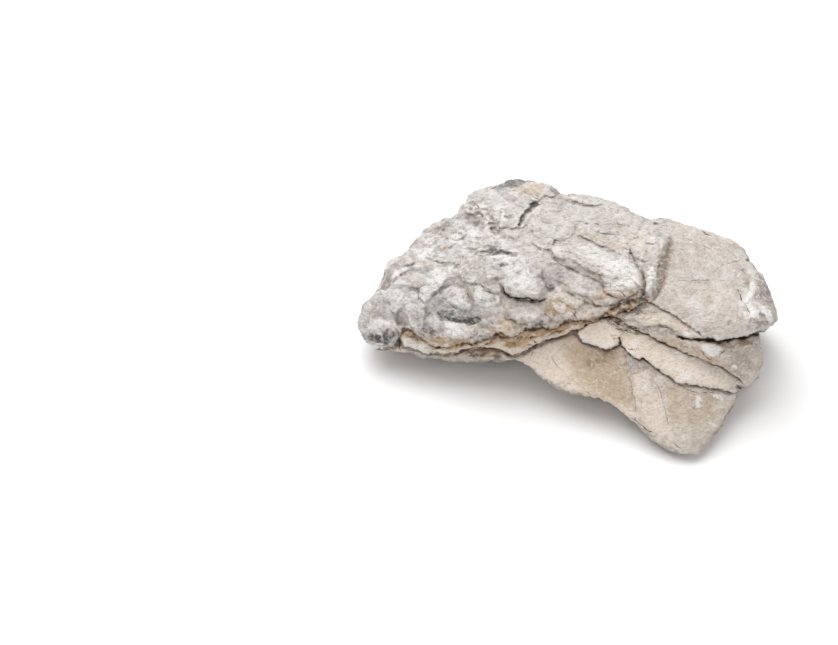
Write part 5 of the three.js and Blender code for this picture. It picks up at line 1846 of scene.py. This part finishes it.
def vertex_places(mesh):
    """A mesh's vertex places as rows of x, y and z."""
    places = np.empty(len(mesh.vertices) * 3, np.float32)
    mesh.vertices.foreach_get("co", places)
    return places.reshape(-1, 3)


def add_values(mesh, name, values):
    """Gives a mesh one number for each vertex."""
    attribute = mesh.attributes.new(name, "FLOAT", "POINT")
    attribute.data.foreach_set("value", np.ascontiguousarray(values, np.float32))


class ELEPHANT_STONE_OT_rock(bpy.types.Operator):
    """Shapes a finely divided ball into the boulder and gives it its limestone"""

    bl_idname = "elephant_stone.rock"
    bl_label = "Build the boulder"

    def execute(self, context):
        settings = context.scene.elephant_stone
        shape = Shape()
        ball = bmesh.new()
        bmesh.ops.create_icosphere(ball, subdivisions=settings.subdivisions, radius=1)
        mesh = bpy.data.meshes.new("fine stone")
        ball.to_mesh(mesh)
        ball.free()
        directions = vertex_places(mesh)
        directions[:, 2] += settings.front_share
        directions /= np.linalg.norm(directions, axis=1)[:, None]
        places = shape.places(directions)
        mesh.vertices.foreach_set("co", (places * MM).astype(np.float32).ravel())
        add_values(mesh, "hide", shape.values(places, "hide"))
        material = limestone(settings)
        fine = bpy.data.objects.new("fine stone", mesh)
        context.scene.collection.objects.link(fine)
        tree, sockets = fine_relief(material, settings)
        relief = fine.modifiers.new("Wrinkles and grain", "NODES")
        relief.node_group = tree
        for identifier, value in sockets.values():
            if value is not None:
                relief[identifier] = value
        thinned = fine.modifiers.new("Thinned", "DECIMATE")
        thinned.ratio = settings.triangles / len(mesh.polygons)
        stone_mesh = bpy.data.meshes.new_from_object(
            fine.evaluated_get(context.evaluated_depsgraph_get())
        )
        bpy.data.objects.remove(fine)
        stone_mesh.name = "elephant skin stone"
        stone_mesh.attributes.remove(stone_mesh.attributes["hide"])
        places = vertex_places(stone_mesh) / MM
        for name in MAPS:
            add_values(stone_mesh, name, shape.values(places, name))
        stone_mesh.polygons.foreach_set("use_smooth", np.ones(len(stone_mesh.polygons), bool))
        stone = bpy.data.objects.new("elephant_skin_stone", stone_mesh)
        context.scene.collection.objects.link(stone)
        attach(stone, "root")
        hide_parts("stone")
        return {"FINISHED"}


class ELEPHANT_STONE_OT_stage(bpy.types.Operator):
    """Makes the floor, the soft light and the camera at the photograph's viewing angle"""

    bl_idname = "elephant_stone.stage"
    bl_label = "Build the stage"

    def execute(self, context):
        scene = context.scene
        settings = scene.elephant_stone_stage
        paper = bpy.data.materials.new("White studio paper, matt")
        paper.use_nodes = True
        shader = paper.node_tree.nodes["Principled BSDF"]
        shader.inputs["Base Color"].default_value = settings.floor_colour
        shader.inputs["Roughness"].default_value = PAPER_ROUGHNESS
        shader.inputs["Specular IOR Level"].default_value = PAPER_GLOSS
        half = settings.floor_size / 2
        mesh = bpy.data.meshes.new("floor")
        corners = [(-half, -half, 0), (half, -half, 0), (half, half, 0), (-half, half, 0)]
        mesh.from_pydata(corners, [], [(0, 1, 2, 3)])
        mesh.materials.append(paper)
        floor = bpy.data.objects.new("floor", mesh)
        scene.collection.objects.link(floor)
        world = bpy.data.worlds.new("Even surround")
        world.use_nodes = True
        background = world.node_tree.nodes["Background"]
        background.inputs["Color"].default_value = (1, 1, 1, 1)
        background.inputs["Strength"].default_value = settings.sky
        scene.world = world
        box = bpy.data.lights.new("soft box", "AREA")
        box.size = BOX_SIZE
        box.energy = settings.key
        light = bpy.data.objects.new("soft box", box)
        light.location = BOX_PLACE
        light.rotation_euler = (-light.location).to_track_quat("-Z", "Y").to_euler()
        scene.collection.objects.link(light)
        eye = bpy.data.cameras.new("camera")
        eye.sensor_width = SENSOR_WIDTH
        eye.lens = SENSOR_WIDTH * EYE_DISTANCE / (PHOTO_WIDTH * MM_PER_PIXEL)
        eye.clip_start = CLIP_START
        camera = bpy.data.objects.new("camera", eye)
        x, y, z = to_stone(EYE_AXIS[0], EYE_AXIS[1], EYE_DISTANCE)
        camera.location = ((x - CENTRE[0]) * MM, (y - CENTRE[1]) * MM, z * MM)
        camera.rotation_euler = (math.pi / 2 - LOOK_DOWN, 0, 0)
        scene.collection.objects.link(camera)
        scene.camera = camera
        scene.view_settings.view_transform = "Standard"
        return {"FINISHED"}


class ELEPHANT_STONE_PT_panel(bpy.types.Panel):
    """The boulder's sizes, colours and buttons"""

    bl_idname = "ELEPHANT_STONE_PT_panel"
    bl_label = "Elephant skin stone"
    bl_space_type = "VIEW_3D"
    bl_region_type = "UI"
    bl_category = "Stone"

    def draw(self, context):
        for name, operator in (
            ("elephant_stone", "elephant_stone.rock"),
            ("elephant_stone_stage", "elephant_stone.stage"),
        ):
            settings = getattr(context.scene, name)
            column = self.layout.column()
            for key in settings.__annotations__:
                column.prop(settings, key)
            column.operator(operator)


CLASSES = (
    StoneSettings,
    StageSettings,
    ELEPHANT_STONE_OT_rock,
    ELEPHANT_STONE_OT_stage,
    ELEPHANT_STONE_PT_panel,
)


def register():
    for kind in CLASSES:
        bpy.utils.register_class(kind)
    bpy.types.Scene.elephant_stone = bpy.props.PointerProperty(type=StoneSettings)
    bpy.types.Scene.elephant_stone_stage = bpy.props.PointerProperty(type=StageSettings)


def unregister():
    del bpy.types.Scene.elephant_stone_stage
    del bpy.types.Scene.elephant_stone
    for kind in reversed(CLASSES):
        bpy.utils.unregister_class(kind)


def main():
    register()
    bpy.ops.elephant_stone.rock()
    bpy.ops.elephant_stone.stage()


if __name__ == "__main__":
    main()
